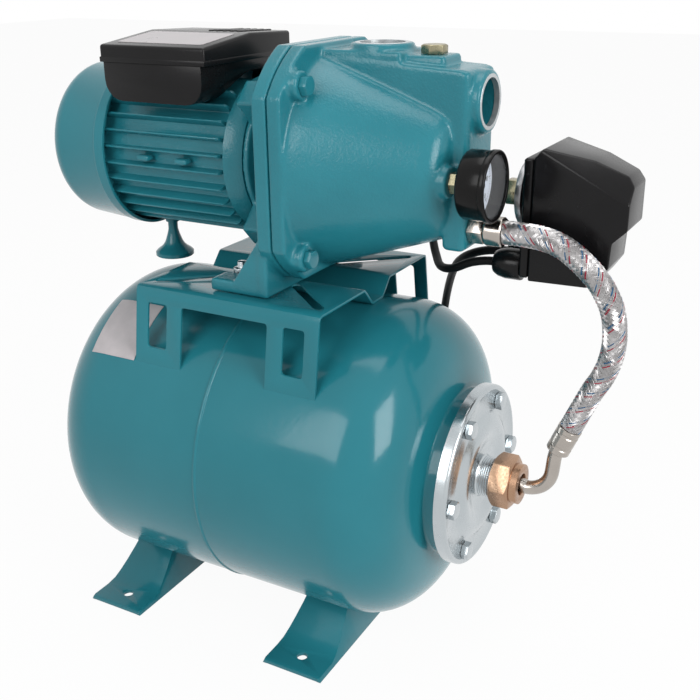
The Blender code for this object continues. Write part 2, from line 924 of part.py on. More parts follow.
def build_bracket():
    axis = (0, 0, shaft_z)
    base_low = platform_z + gap
    base_top = base_low + base_thickness
    bracket = prism("motor_bracket", [joint_outline()], bracket_back, bracket_face, "X", teal_paint)
    hub = turned("bracket_hub", [
        (motor_face, 0.0), (motor_face, spigot_radius), (motor_face + 0.0045, spigot_radius),
        (motor_face + 0.0065, hub_radius), (bracket_back + 0.004, hub_radius), (bracket_back + 0.004, 0.0),
    ], axis, "X", 32, tool=True)
    leg = box("bracket_leg", (base_front - leg_thickness, -base_half, base_low),
              (base_front, base_half, base_low + leg_height), tool=True, rounding=0.0015, rounding_steps=1)
    base = box("bracket_base", (base_rear, -base_half + 0.0004, base_low),
               (base_front - 0.001, base_half - 0.0004, base_top), tool=True, rounding=0.0015,
               rounding_steps=1)
    fuse(bracket, hub, leg, base)
    for index, angle in enumerate((45, 135, 225, 315)):
        arm = box("bracket_arm_%d" % index, (motor_face + 0.0015, arm_inner, -arm_width / 2),
                  (bracket_back + 0.003, arm_outer, arm_width / 2), tool=True)
        middle = (arm_inner + arm_outer) / 2
        turn = math.radians(angle)
        arm.rotation_euler = (turn, 0, 0)
        arm.location = ((motor_face + 0.0015 + bracket_back + 0.003) / 2, middle * math.cos(turn),
                        shaft_z + middle * math.sin(turn))
        fuse(bracket, arm)
    plate_back = base_front - leg_thickness
    gusset = [
        (base_rear + gusset_foot, base_top - 0.002), (plate_back + 0.002, base_top - 0.002),
        (plate_back + 0.002, base_top + gusset_top + 0.002), (plate_back - 0.0004, base_top + gusset_top),
    ]
    for side in (-1, 1):
        edge = base_half - 0.0008
        low, high = sorted((side * (edge - gusset_thickness), side * edge))
        fuse(bracket, prism("gusset_%d" % side, [gusset], low, high, "Y", tool=True))
    web = [
        (base_rear + 0.014, base_top - 0.002), (plate_back + 0.002, base_top - 0.002),
        (plate_back + 0.002, shaft_z - hub_radius + 0.004), (motor_face + 0.008, shaft_z - hub_radius + 0.004),
    ]
    fuse(bracket, prism("bracket_web", [web], -gusset_thickness / 2, gusset_thickness / 2, "Y", tool=True))
    bore = turned("bracket_bore", [
        (motor_face - 0.001, 0.0), (motor_face - 0.001, bearing_radius + gap),
        (motor_face + bearing_width + gap, bearing_radius + gap),
        (motor_face + bearing_width + gap, bearing_radius - 0.003),
        (bracket_back + 0.001, bearing_radius - 0.003), (bracket_back + 0.001, shaft_radius + 0.002),
        (bracket_back + 0.003, shaft_radius + 0.002), (bracket_back + 0.003, seal_radius + gap),
        (bracket_face + 0.001, seal_radius + gap), (bracket_face + 0.001, 0.0),
    ], axis, "X", 20, tool=True)
    carve(bracket, bore)
    for index, place in enumerate(corner_places(0)):
        hole = rod("bracket_hole_%d" % index, place, "X", m8_radius + thread_gap,
                   bracket_back - 0.012, bracket_face + 0.001, 12, tool=True)
        carve(bracket, hole)
    for side in (-1, 1):
        notch = box("foot_notch_%d" % side,
                    (base_rear - 0.002, side * foot_bolt_y - notch_half, base_top - notch_depth),
                    (base_rear + notch_length, side * foot_bolt_y + notch_half, base_top + 0.001), tool=True)
        hole = rod("foot_hole_%d" % side, (foot_bolt_x, side * foot_bolt_y, base_low), "Z",
                   m8_radius + thread_gap, -0.001, base_thickness + 0.001, 12, tool=True)
        carve(bracket, notch, hole)


def build_foot_bolts():
    seat = platform_z + gap + base_thickness - notch_depth + gap
    under = platform_z - platform_sheet - gap
    for number, side in enumerate((-1, 1)):
        place = (foot_bolt_x, side * foot_bolt_y, 0)
        bolt = rod("foot_bolt_%d" % (number + 1), place, "Z", m8_radius, under - 0.002,
                   platform_z + foot_bolt_top, 12, zinc_plate)
        head = rod("foot_bolt_head_%d" % number, place, "Z", m8_across_flats / math.sqrt(3),
                   under - m8_head, under, 6, tool=True)
        nut = rod("foot_bolt_nut_%d" % number, place, "Z", m8_across_flats / math.sqrt(3),
                  seat, seat + 0.0065, 6, tool=True)
        fuse(bolt, head, nut)


# Motor

def finned_outline():
    """The frame's section: long fins round a barrel, with none behind the terminal box."""
    points = []
    count = round(360 / fin_step)
    for index in range(count):
        middle = -90 + index * fin_step
        bare = abs((middle - 90 + 180) % 360 - 180) < fin_blind_half
        root = math.degrees(fin_root / 2 / frame_body_radius)
        tip = math.degrees(fin_tip / 2 / fin_radius)
        points.append(polar((0, shaft_z), frame_body_radius, middle - root))
        if not bare:
            points += arc((0, shaft_z), fin_radius, middle - tip, middle + tip, 1)
        points.append(polar((0, shaft_z), frame_body_radius, middle + root))
    return points


def build_motor_frame():
    axis = (0, 0, shaft_z)
    ring_end = motor_face - gap - frame_ring_length
    bore = arc((0, shaft_z), frame_bore_radius, 0, 345, 23)
    frame = prism("motor_frame", [finned_outline(), bore], frame_rear, ring_end + 0.001, "X", teal_paint)
    front = motor_face - gap
    ring = turned("frame_ring", [
        (ring_end - 0.001, frame_bore_radius + 0.0005), (ring_end - 0.001, frame_ring_radius),
        (ring_end, frame_ring_radius), (front, spigot_radius + 0.0005), (front, frame_bore_radius + 0.0005),
    ], axis, "X", 30, tool=True)
    pad = arc((0, shaft_z), fin_radius, 90 - pad_half_angle, 90 + pad_half_angle, 4)
    pad += arc((0, shaft_z), frame_body_radius - 0.003, 90 + pad_half_angle, 90 - pad_half_angle, 4)
    pad = prism("frame_pad", [pad], box_rear + pad_inset, box_front - pad_inset, "X", tool=True)
    boss = rod("frame_boss", (support_x, 0, 0), "Z", 0.0095, shaft_z - fin_radius - support_boss,
               shaft_z - frame_body_radius + 0.002, 16, tool=True)
    fuse(frame, ring, pad, boss)


def build_rotating_parts():
    axis = (0, 0, shaft_z)
    seat = shaft_radius
    core = rotor_radius
    end = bracket_face
    rear_bearing = frame_rear - shield_thickness
    turned("motor_rotor", [
        (fan_back - 0.001, 0.0), (fan_back - 0.001, 0.0060), (fan_front + 0.0005, 0.0060),
        (fan_front + 0.0005, seat), (rear_bearing + bearing_width + 0.002, seat),
        (rear_bearing + bearing_width + 0.002, 0.0095), (stack_rear - 0.004, 0.0095),
        (stack_rear - 0.004, core - 0.003), (stack_rear, core), (stack_front, core),
        (stack_front + 0.004, core - 0.003), (stack_front + 0.004, 0.0095),
        (motor_face - 0.002, 0.0095), (motor_face - 0.002, seat), (bracket_back + 0.001, seat),
        (end - 0.010, seal_shaft_radius), (end + 0.0035, seal_shaft_radius),
        (end + 0.0035, impeller_shaft_radius), (0.0068, impeller_shaft_radius), (0.0071, 0.0095),
        (0.0115, 0.0095), (0.0115, 0.0),
    ], axis, "X", 16, steel)
    bearing = [(0, seat + gap), (0, bearing_radius), (bearing_width, bearing_radius), (bearing_width, seat + gap)]
    turned("bearing_front", bearing, (motor_face, 0, shaft_z), "X", 20, steel)
    turned("bearing_rear", bearing, (rear_bearing + 0.001, 0, shaft_z), "X", 20, steel)
    coil_inner = stator_bore + 0.0045
    coil_outer = frame_bore_radius - 0.0045
    turned("stator", [
        (winding_rear, coil_inner), (winding_rear, coil_outer - 0.001), (stack_rear, coil_outer),
        (stack_rear, frame_bore_radius - gap), (stack_front, frame_bore_radius - gap),
        (stack_front, coil_outer), (winding_front, coil_outer - 0.001), (winding_front, coil_inner),
        (stack_front, stator_bore), (stack_rear, stator_bore),
    ], axis, "X", 24, copper)


def build_end_shield():
    rear = frame_rear - shield_thickness
    bore = bearing_radius + gap
    turned("motor_end_shield", [
        (rear, shaft_radius + 0.001), (rear, fin_radius - 0.001), (rear + 0.001, fin_radius),
        (frame_rear - gap, fin_radius), (frame_rear - gap, frame_bore_radius - gap),
        (frame_rear + 0.003, frame_bore_radius - gap), (frame_rear + 0.003, frame_bore_radius - 0.004),
        (frame_rear + 0.001, bearing_radius + 0.007), (rear + bearing_width + 0.001, bearing_radius + 0.004),
        (rear + bearing_width + 0.001, bore), (rear + 0.0007, bore), (rear + 0.0007, shaft_radius + 0.001),
    ], (0, 0, shaft_z), "X", 24, teal_paint)


def build_fan_cover():
    inner = cover_radius - cover_wall
    lip = cover_radius + cover_lip_height
    start = cover_open_end - cover_lip_length
    corner = arc((cover_back + cover_edge_radius, cover_radius - cover_edge_radius), cover_edge_radius, 180, 90, 2)
    outer = [(cover_back, 0.0)] + corner + [(start, cover_radius), (start + 0.001, lip), (cover_open_end, lip)]
    wall_corner = arc((cover_back + cover_edge_radius, cover_radius - cover_edge_radius),
                      cover_edge_radius - cover_wall, 90, 180, 1)
    profile = outer + [(cover_open_end, inner)] + wall_corner + [(cover_back + cover_wall, 0.0)]
    cover = turned("fan_cover", profile, (0, 0, shaft_z), "X", 32, teal_paint)
    for row, (low, high) in enumerate(((0.018, 0.036), (0.041, 0.059))):
        for index in range(grille_slots):
            angle = 2 * math.pi * (index + 0.5 * row) / grille_slots
            half = 0.0022 + 0.0014 * row
            outline = []
            for along, across in ((low, -half), (high, -half), (high + 0.002, 0), (high, half), (low, half)):
                y = along * math.cos(angle) - across * math.sin(angle)
                z = along * math.sin(angle) + across * math.cos(angle)
                outline.append((y, shaft_z + z))
            cutter = prism("grille_%d_%d" % (row, index), [outline], cover_back - 0.001,
                           cover_back + cover_wall + 0.001, "X", tool=True)
            carve(cover, cutter)


def build_cooling_fan():
    axis = (0, 0, shaft_z)
    hub = 0.0060 + gap
    fan = turned("cooling_fan", [
        (fan_back, hub), (fan_back, 0.013), (fan_front - 0.003, 0.016), (fan_front - 0.003, fan_radius),
        (fan_front - 0.001, fan_radius), (fan_front - 0.001, hub),
    ], axis, "X", 20, black_plastic)
    for index in range(fan_blades):
        blade = box("fan_blade_%d" % index, (fan_back, 0.0120, -0.0009),
                    (fan_front - 0.002, fan_radius - 0.002, 0.0009), tool=True)
        turn = 2 * math.pi * index / fan_blades
        middle = (0.0120 + fan_radius - 0.002) / 2
        blade.rotation_euler = (turn, 0, 0)
        blade.location = ((fan_back + fan_front - 0.002) / 2, middle * math.cos(turn),
                          shaft_z + middle * math.sin(turn))
        fuse(fan, blade)


def build_support_foot():
    top = shaft_z - fin_radius - support_boss - gap
    bottom = tank_z + tank_radius + support_clearance
    turned("support_foot", [
        (bottom, 0.0), (bottom, support_disc - 0.001), (bottom + 0.0015, support_disc),
        (bottom + 0.0055, support_disc - 0.001), (bottom + 0.0080, 0.0150), (bottom + 0.0115, 0.0105),
        (bottom + 0.0160, 0.0088), (top, 0.0098), (top, 0.0),
    ], (support_x, 0, 0), "Z", 20, teal_paint)


# Terminal box

def barrel_cutter(name, clearance):
    """The round envelope of the motor's fins, with its flats clear of them."""
    radius = (fin_radius + clearance) / math.cos(math.pi / 36)
    return rod(name, (0, 0, shaft_z), "X", radius, lid_rear - 0.02, lid_front + 0.02, 36, tool=True)


def build_terminal_box():
    top = shaft_z + lid_bottom - gap
    low = shaft_z + box_bottom

    def side_view(inset):
        corners = [
            (box_rear + inset, top + inset * 2), (box_rear + inset, low + inset + box_corner),
            *arc((box_rear + inset + box_corner, low + inset + box_corner), box_corner, 180, 270, 5)[1:],
            *arc((box_front - inset - box_corner, low + inset + box_corner), box_corner, 270, 360, 5),
            (box_front - inset, top + inset * 2),
        ]
        return corners

    base = prism("terminal_box_base", [side_view(0)], box_near, box_far, "Y", black_plastic)
    pocket = prism("box_pocket", [side_view(box_wall)], box_near + box_wall, box_far - box_wall, "Y",
                   tool=True)
    carve(pocket, barrel_cutter("pocket_barrel", box_wall + gap))
    gland = rod("box_gland", (box_gland_x, 0, shaft_z + box_gland_z), "Y", box_gland_radius,
                box_far - box_wall, box_far + box_gland_length, 16, tool=True)
    bore = rod("box_gland_bore", (box_gland_x, 0, shaft_z + box_gland_z), "Y", motor_lead_radius + gap,
               box_far + box_gland_length - 0.010, box_far + box_gland_length + 0.001, 12, tool=True)
    carve(base, barrel_cutter("box_barrel", gap), pocket)
    fuse(base, gland)
    carve(base, bore)


def build_terminal_lid():
    low = shaft_z + lid_bottom

    def end_view(inset):
        slope = inset * 1.05
        return [
            (lid_near + inset, low - inset), (lid_far - inset, low - inset),
            (lid_far - inset, shaft_z + lid_far_top - slope), (lid_kink_y, shaft_z + lid_kink_top - slope),
            (lid_near + inset, shaft_z + lid_near_top - slope),
        ]

    lid = prism("terminal_box_lid", [end_view(0)], lid_rear, lid_front, "X", black_plastic)
    bevel = lid.modifiers.new("edges", "BEVEL")
    bevel.width = 0.0015
    bevel.segments = 2
    bevel.limit_method = "ANGLE"
    bevel.angle_limit = math.radians(40)
    pocket = prism("lid_pocket", [end_view(box_wall)], lid_rear + box_wall, lid_front - box_wall, "X",
                   tool=True)
    carve(lid, pocket)


def build_capacitor():
    place = (0, box_near + box_wall + gap + capacitor_radius, shaft_z + box_bottom + box_corner + 0.0076)
    start = box_rear + box_corner / 2
    rod("capacitor", place, "X", capacitor_radius, start, start + capacitor_length, 20, grey_plastic)


# Pump casing

def build_casing():
    axis = (0, 0, shaft_z)
    casing = prism("pump_casing", [joint_outline()], -joint_flange, 0, "X", teal_paint)
    cone = turned("casing_cone", [
        (-0.004, 0.0), (-0.004, cone_rear_radius - 0.001), (0.002, cone_rear_radius - 0.001),
        (0.010, cone_rear_radius - 0.0035), (cone_length - 0.010, cone_front_radius + 0.002),
        (cone_length - 0.002, cone_front_radius - 0.002), (cone_length + 0.003, cone_front_radius - 0.009),
        (cone_length + 0.003, 0.0),
    ], axis, "X", casing_sides, tool=True)
    top = shaft_z + duct_rear_top
    front_top = shaft_z + duct_front_top
    duct = prism("casing_duct", [[
        (-0.003, shaft_z + 0.020), (block_front - 0.004, shaft_z + 0.020), (block_front - 0.004, front_top),
        (-0.003, top),
    ]], -duct_half, duct_half, "Y", tool=True)
    block = box("casing_block", (block_rear, -duct_half, shaft_z + block_bottom),
                (block_front, duct_half, front_top - 0.0003), tool=True, rounding=0.004)
    pad = box("discharge_pad", (-0.0050, -duct_half + 0.001, shaft_z + 0.060),
              (discharge_x + 0.0266, duct_half - 0.001, shaft_z + 0.0855), tool=True, rounding=0.002,
              rounding_steps=1)
    plug_pad = box("plug_pad", (discharge_x + 0.010, -0.0165, shaft_z + 0.060),
                   (plug_x + 0.015, 0.0165, shaft_z + plug_pad_top), tool=True, rounding=0.002,
                   rounding_steps=1)
    discharge = rod("discharge_boss", (discharge_x, 0, shaft_z), "Z", discharge_radius, 0.055,
                    discharge_top, 24, tool=True)
    suction = rod("suction_boss", (0, 0, shaft_z + suction_z), "X", suction_radius, block_rear + 0.002,
                  suction_face, 24, tool=True)
    gauge_boss = rod("gauge_boss", (0, gauge_y, shaft_z + gauge_z), "X", small_boss_radius,
                     cone_length - 0.016, gauge_boss_face, 16, tool=True)
    switch_boss = rod("switch_boss", (0, switch_y, shaft_z + switch_z), "X", small_boss_radius,
                      cone_length - 0.016, switch_boss_face, 16, tool=True)
    fuse(casing, cone, duct, block, pad, plug_pad, discharge, suction, gauge_boss, switch_boss)
    for index, place in enumerate(corner_places(0)):
        fuse(casing, rod("corner_boss_%d" % index, place, "X", corner_boss_radius, -joint_flange / 2,
                         corner_boss_face, 12, tool=True))
    carve_casing(casing, axis)


def cavity_profile():
    """The casing's inner wall, open at the joint face, as (X, radius)."""
    back = cone_rear_radius - casing_wall
    front = cone_front_radius - casing_wall + 0.002
    return [(0.004, back - 0.001), (cone_length - 0.012, front), (cone_length - 0.0045, front - 0.006)]


thread_start = cavity_profile()[-1][0] + 0.0005


def cavity_radius(x):
    """The radius of the casing's inner wall at a station."""
    first, second, third = cavity_profile()
    if x <= first[0]:
        return first[1]
    low, high = (first, second) if x <= second[0] else (second, third)
    return low[1] + (high[1] - low[1]) * (x - low[0]) / (high[0] - low[0])


def carve_casing(casing, axis):
    wall = cavity_profile()
    cavity = turned("casing_cavity", [(-joint_flange - 0.005, 0.0), (-joint_flange - 0.005, wall[0][1])] + wall
                    + [(wall[-1][0], 0.0)], axis, "X", casing_sides, tool=True)
    suction = rod("suction_bore", (0, 0, shaft_z + suction_z), "X", port_radius, 0.076,
                  suction_face + 0.001, 20, tool=True)
    discharge = rod("discharge_bore", (discharge_x, 0, shaft_z), "Z", port_radius, 0.050,
                    discharge_top + 0.001, 20, tool=True)
    plug = rod("plug_bore", (plug_x, 0, shaft_z), "Z", plug_thread + thread_gap, 0.045,
               plug_pad_top + 0.001, 12, tool=True)
    gauge = rod("gauge_bore", (0, gauge_y, shaft_z + gauge_z), "X", small_thread + thread_gap, 0.085,
                gauge_boss_face + 0.001, 12, tool=True)
    switch = rod("switch_bore", (0, switch_y, shaft_z + switch_z), "X", small_thread + thread_gap, 0.085,
                 switch_boss_face + 0.001, 12, tool=True)
    hose = rod("hose_bore", (0, hose_y, shaft_z + hose_z), "X", small_thread + thread_gap, 0.085,
               block_front + 0.001, 12, tool=True)
    carve(casing, cavity, suction, discharge, plug, gauge, switch, hose)
    for index, place in enumerate(corner_places(0)):
        carve(casing, rod("casing_hole_%d" % index, place, "X", m8_radius + thread_gap,
                          -joint_flange - 0.001, corner_boss_face + 0.001, 12, tool=True))


def build_casing_bolts():
    mesh = hex_bolt_mesh("casing_bolt", m8_across_flats, m8_head, m8_radius, casing_bolt_length)
    for index, place in enumerate(corner_places(corner_boss_face + gap)):
        place_mesh("casing_bolt_%d" % (index + 1), mesh, place, "X", teal_paint)


def build_filler_plug():
    seat = shaft_z + plug_pad_top + gap
    mesh = hex_bolt_mesh("filler_plug", plug_across_flats, 0.0065, plug_thread, 0.010)
    place_mesh("filler_plug", mesh, (plug_x, 0, seat), "Z", brass)


def build_wet_end():
    axis = (0, 0, shaft_z)
    hub = impeller_shaft_radius + gap
    impeller = turned("impeller", [
        (bracket_face + 0.0038, hub), (bracket_face + 0.0038, 0.0110), (bracket_face + 0.0043, impeller_radius),
        (bracket_face + 0.0068, impeller_radius), (bracket_face + 0.0100, 0.0110), (0.0066, 0.0105), (0.0066, hub),
    ], axis, "X", 24, brass)
    for index in range(impeller_vanes):
        start = 360 * index / impeller_vanes
        line = []
        for step in range(5):
            radius = 0.0140 + (impeller_radius - 0.003 - 0.0140) * step / 4
            angle = math.radians(start + 75 * (step / 4) ** 0.8)
            line.append((radius * math.cos(angle), shaft_z + radius * math.sin(angle)))
        vane = prism("vane_%d" % index, [sheet_outline(line, 0.0026)], bracket_face + 0.0050,
                     bracket_face + 0.0160, "X", tool=True)
        fuse(impeller, vane)
    turned("shaft_seal", [
        (bracket_back + 0.0035, seal_shaft_radius + 0.0013), (bracket_back + 0.0035, seal_radius),
        (bracket_face - 0.003, seal_radius), (bracket_face + 0.0034, 0.0095),
        (bracket_face + 0.0034, seal_shaft_radius + gap), (bracket_back + 0.0060, seal_shaft_radius + gap),
    ], axis, "X", 16, black_rubber)
    rim, step = 0.0060, 0.0120
    turned("diffuser", [
        (rim, cavity_radius(rim) - 0.008), (rim, cavity_radius(rim) - gap),
        (step, cavity_radius(step) - gap), (step + 0.002, 0.0600), (step + 0.004, 0.0175),
        (venturi_end, 0.0145), (venturi_end, 0.0110), (step, 0.0125), (step, 0.0600),
        (step - 0.002, cavity_radius(step) - 0.010),
    ], axis, "X", casing_sides, grey_plastic)
    end = cavity_profile()[-1][0]
    rim = abs(gauge_y) - small_thread - 0.0015
    turned("ejector_nozzle", [
        (nozzle_start, 0.0045), (nozzle_start, 0.0065), (end - 0.004, 0.0120), (end - 0.003, rim),
        (end - gap, rim), (end - gap, 0.0100), (end - 0.004, 0.0095),
    ], axis, "X", 18, brass)


# Pressure gauge

def build_gauge():
    centre = (0, gauge_y, shaft_z + gauge_z)
    inner = gauge_radius - gauge_wall
    turned("gauge_case", [
        (gauge_back, 0.0), (gauge_back, gauge_radius - 0.003), (gauge_back + 0.003, gauge_radius - 0.0008),
        (gauge_front - 0.004, gauge_radius - 0.0008), (gauge_front - 0.0036, gauge_radius),
        (gauge_front, gauge_radius - 0.0004), (gauge_front, inner - 0.0010), (gauge_front - 0.0018, inner - 0.0010),
        (gauge_front - 0.0018, inner), (dial_x - 0.001, inner), (dial_x - 0.001, 0.0),
    ], centre, "X", 32, black_plastic)
    dial_back = dial_x - 0.001 + gap
    turned("gauge_dial", [
        (dial_back, 0.0), (dial_back, inner - gap), (dial_x, inner - gap), (dial_x, 0.0),
    ], centre, "X", 32, white_dial)
    reading = math.radians(225)
    pointer = []
    for along, across in ((0.0185, 0.0003), (0.004, 0.0008), (-0.0075, 0.0013)):
        pointer.append((along, across))
    outline = pointer + [(along, -across) for along, across in pointer[::-1]]
    turned_outline = []
    for along, across in outline:
        y = along * math.cos(reading) - across * math.sin(reading)
        z = along * math.sin(reading) + across * math.cos(reading)
        turned_outline.append((gauge_y + y, shaft_z + gauge_z + z))
    needle = prism("gauge_needle", [turned_outline], needle_x, needle_x + 0.0007, "X", black_plastic)
    hub = rod("needle_hub", centre, "X", 0.0022, dial_x + gap, needle_x + 0.0014, 12, tool=True)
    fuse(needle, hub)
    rod("gauge_lens", centre, "X", inner - gap, lens_x, gauge_front - 0.0018 - gap, 32, clear_lens)
    stem = rod("gauge_stem", centre, "X", small_thread, thread_start, gauge_back - 0.004, 16, brass)
    hexagon = rod("gauge_stem_hex", centre, "X", gauge_hex / math.sqrt(3), gauge_boss_face + gap,
                  gauge_back - gap, 6, tool=True)
    fuse(stem, hexagon)


# Pressure switch

def switch_outline(inset):
    """The cover's side view as (X, Z), with the bottom step over the cable space."""
    corners = [
        (switch_base_front + gap, -0.0784), (0.2114, -0.0753), (0.2271, -0.0563), (0.2289, -0.0360),
        (0.2386, -0.0262), (0.2353, 0.0081), (0.1640, 0.0198), (switch_base_front + gap, 0.0126),
    ]
    if inset:
        corners = [
            (switch_base_front - 0.001, -0.0784 + inset), (0.2114 - inset, -0.0753 + inset),
            (0.2271 - inset, -0.0563 + inset * 0.3), (0.2289 - inset, -0.0360 + inset * 0.3),
            (0.2386 - inset, -0.0262 + inset * 0.3), (0.2353 - inset, 0.0081 - inset),
            (0.1640, 0.0198 - inset * 1.1), (switch_base_front - 0.001, 0.0126 - inset * 1.1),
        ]
    return [(x, shaft_z + z) for x, z in corners]


def build_switch():
    centre = (0, switch_y, shaft_z + switch_z)
    nipple = rod("switch_nipple", centre, "X", small_thread, thread_start, switch_hex_front + 0.002,
                 16, brass)
    hexagon = rod("nipple_hex", centre, "X", switch_hex / math.sqrt(3), switch_hex_rear,
                  switch_hex_front, 6, tool=True)
    collar = rod("nipple_collar", centre, "X", 0.0085, switch_boss_face + gap, switch_hex_rear + 0.001, 16,
                 tool=True)
    fuse(nipple, hexagon, collar)
    bore = small_thread + thread_gap
    turned("switch_diaphragm", [
        (switch_hex_front + gap, bore), (switch_hex_front + gap, 0.0100), (diaphragm_rear, 0.0115),
        (diaphragm_rear, diaphragm_radius), (diaphragm_front, diaphragm_radius), (diaphragm_front, 0.0160),
        (switch_base_rear - gap, 0.0160), (switch_base_rear - gap, 0.0), (switch_hex_front + 0.003, 0.0),
        (switch_hex_front + 0.003, bore),
    ], centre, "X", 28, zinc_plate)
    cover = prism("switch_cover", [switch_outline(0)], switch_near, switch_far, "Y", black_plastic)
    bevel = cover.modifiers.new("edges", "BEVEL")
    bevel.width = 0.0035
    bevel.segments = 2
    bevel.limit_method = "ANGLE"
    bevel.angle_limit = math.radians(50)
    pocket = prism("switch_pocket", [switch_outline(switch_wall)], switch_near + switch_wall,
                   switch_far - switch_wall, "Y", tool=True)
    carve(cover, pocket)
    build_switch_base()
    build_switch_works()
    gland = [
        (gland_rear, motor_lead_radius + 0.0006), (gland_rear, gland_radius - 0.0035),
        (gland_rear + 0.004, gland_radius - 0.0012), (gland_rear + 0.010, gland_radius),
        (switch_base_rear - gap, gland_radius), (switch_base_rear - gap, 0.0),
        (gland_rear + 0.010, 0.0), (gland_rear + 0.010, motor_lead_radius + 0.0006),
    ]
    for number, y in enumerate((gland_near_y, gland_far_y)):
        turned("switch_gland_%d" % (number + 1), gland, (0, y, shaft_z + gland_z), "X", 16, black_plastic)


pivot_z = switch_z - 0.026


def build_switch_base():
    base = box("switch_base", (switch_base_rear, switch_near + 0.001, shaft_z + switch_low),
               (switch_base_front, switch_far - 0.001, shaft_z + 0.0120), black_plastic, rounding=0.0015,
               rounding_steps=1)
    post = rod("switch_post", (0, switch_y, shaft_z + switch_z), "X", post_radius, switch_base_front - 0.002,
               0.2120, 12, tool=True)
    nut = rod("post_nut", (0, switch_y, shaft_z + switch_z), "X", 0.0100, 0.2060, 0.2100, 6, tool=True)
    fuse(base, post, nut)
    for side in (-1, 1):
        y = switch_y + side * 0.0190
        ear = box("switch_ear_%d" % side, (switch_base_front - 0.002, y - 0.0015, shaft_z + pivot_z - 0.005),
                  (lever_x + 0.0055, y + 0.0015, shaft_z + pivot_z + 0.005), tool=True)
        hole = rod("ear_hole_%d" % side, (lever_x + 0.001, 0, shaft_z + pivot_z), "Y", 0.0020 + gap,
                   y - 0.003, y + 0.003, 12, tool=True)
        fuse(base, ear)
        carve(base, hole)


def build_switch_works():
    z = shaft_z + pivot_z
    lever = box("switch_lever", (lever_x, switch_y - 0.0160, z - 0.003),
                (lever_x + 0.002, switch_y + 0.0160, shaft_z + switch_z + 0.015), steel)
    pin = rod("lever_pin", (lever_x + 0.001, 0, z), "Y", 0.0020, switch_y - 0.0200, switch_y + 0.0200, 12,
              tool=True)
    window = rod("lever_window", (0, switch_y, shaft_z + switch_z), "X", post_radius + 0.0015,
                 lever_x - 0.001, lever_x + 0.003, 12, tool=True)
    fuse(lever, pin)
    carve(lever, window)
    wire, coil = 0.0009, 0.0075
    start, end = lever_x + 0.002 + gap + wire, 0.2060 - gap - wire
    turns, per_turn = 6, 8
    points = []
    for step in range(turns * per_turn + 1):
        angle = 2 * math.pi * step / per_turn
        x = start + (end - start) * step / (turns * per_turn)
        points.append((x, switch_y + coil * math.cos(angle), shaft_z + switch_z + coil * math.sin(angle)))
    tube("switch_spring", points, wire, 1, steel)


# Hose from the casing to the tank

def hose_route():
    """The hose's centreline from its upper ferrule down to the lower one."""
    z = shaft_z + hose_z
    x, low = stub_end + elbow_reach, tank_z + elbow_rise
    return [
        (nipple_end + gap, hose_y, z), (0.1600, hose_y, z), (0.1760, hose_y - 0.0005, z - 0.0012),
        (0.1900, hose_y - 0.0010, z - 0.0055), (0.2050, hose_y - 0.0010, z - 0.0155),
        (0.2180, hose_y, z - 0.0290), (0.2270, hose_y + 0.002, z - 0.0460), (0.2300, hose_y + 0.005, z - 0.0640),
        (0.2290, hose_y + 0.008, z - 0.0830), (0.2235, hose_y + 0.010, z - 0.1020),
        (x + 0.0130, 0, low + 0.0310), (x + 0.0050, 0, low + 0.0120), (x, 0, low),
    ]


def build_hose():
    z = shaft_z + hose_z
    nipple = turned("hose_nipple", [
        (thread_start, 0.0), (thread_start, small_thread), (block_front - 0.001, small_thread),
        (0.1310, small_thread), (0.1310, ferrule_radius - 0.001), (0.1325, ferrule_radius),
        (nipple_end - 0.001, ferrule_radius), (nipple_end, ferrule_radius - 0.001), (nipple_end, 0.0),
    ], (0, hose_y, z), "X", 18, nickel)
    hexagon = rod("nipple_nut", (0, hose_y, z), "X", 0.0190 / math.sqrt(3), block_front + gap, 0.1305, 6,
                  tool=True)
    fuse(nipple, hexagon)
    route = smooth_route(hose_route(), 0.0060)
    tube("braided_hose", route, hose_radius, 3, braid)
    down = (route[-1] - route[-2]).normalized()
    start = route[-1] + down * gap
    ferrule_end = start + down * ferrule_length
    corner = Vector((ferrule_end.x - elbow_bend * 0.3, 0, tank_z))
    elbow_route = smooth_route([
        ferrule_end - down * 0.004, ferrule_end + down * 0.003,
        corner + Vector((0.0030, 0, elbow_bend * 0.75)), corner + Vector((-elbow_bend * 0.15, 0, elbow_bend * 0.25)),
        corner - Vector((elbow_bend * 0.75, 0, 0)), (stub_end + 0.0035, 0, tank_z),
    ], 0.0055)
    elbow = tube("hose_elbow_tube", elbow_route, elbow_radius, 3, tool=True)
    fitting = rod("hose_elbow", (0, 0, 0), "Z", ferrule_radius, 0, ferrule_length, 20, nickel)
    fitting.location = start
    fitting.rotation_euler = down.to_track_quat("Z", "Y").to_euler()
    collar = rod("elbow_collar", tank_centre, "X", stub_radius - 0.0030, stub_end + gap, stub_end + 0.0035,
                 20, tool=True)
    fuse(fitting, elbow, collar)
    build_union_nut()


def build_union_nut():
    rear = stub_end - 0.0020
    length = 0.0170
    nut = rod("hose_union_nut", tank_centre, "X", 0.0390 / math.sqrt(3), rear, rear + length, 6, brass)
    shoulder = rod("union_shoulder", tank_centre, "X", 0.0165, rear + length - 0.001, rear + length + 0.0055,
                   24, tool=True)
    seat = rod("union_seat", tank_centre, "X", stub_radius + thread_gap, rear - 0.001, stub_end + 0.0040, 28,
               tool=True)
    passage = rod("union_passage", tank_centre, "X", elbow_radius + 0.0006, rear, rear + length + 0.01, 20,
                  tool=True)
    fuse(nut, shoulder)
    carve(nut, seat, passage)


# Electric leads

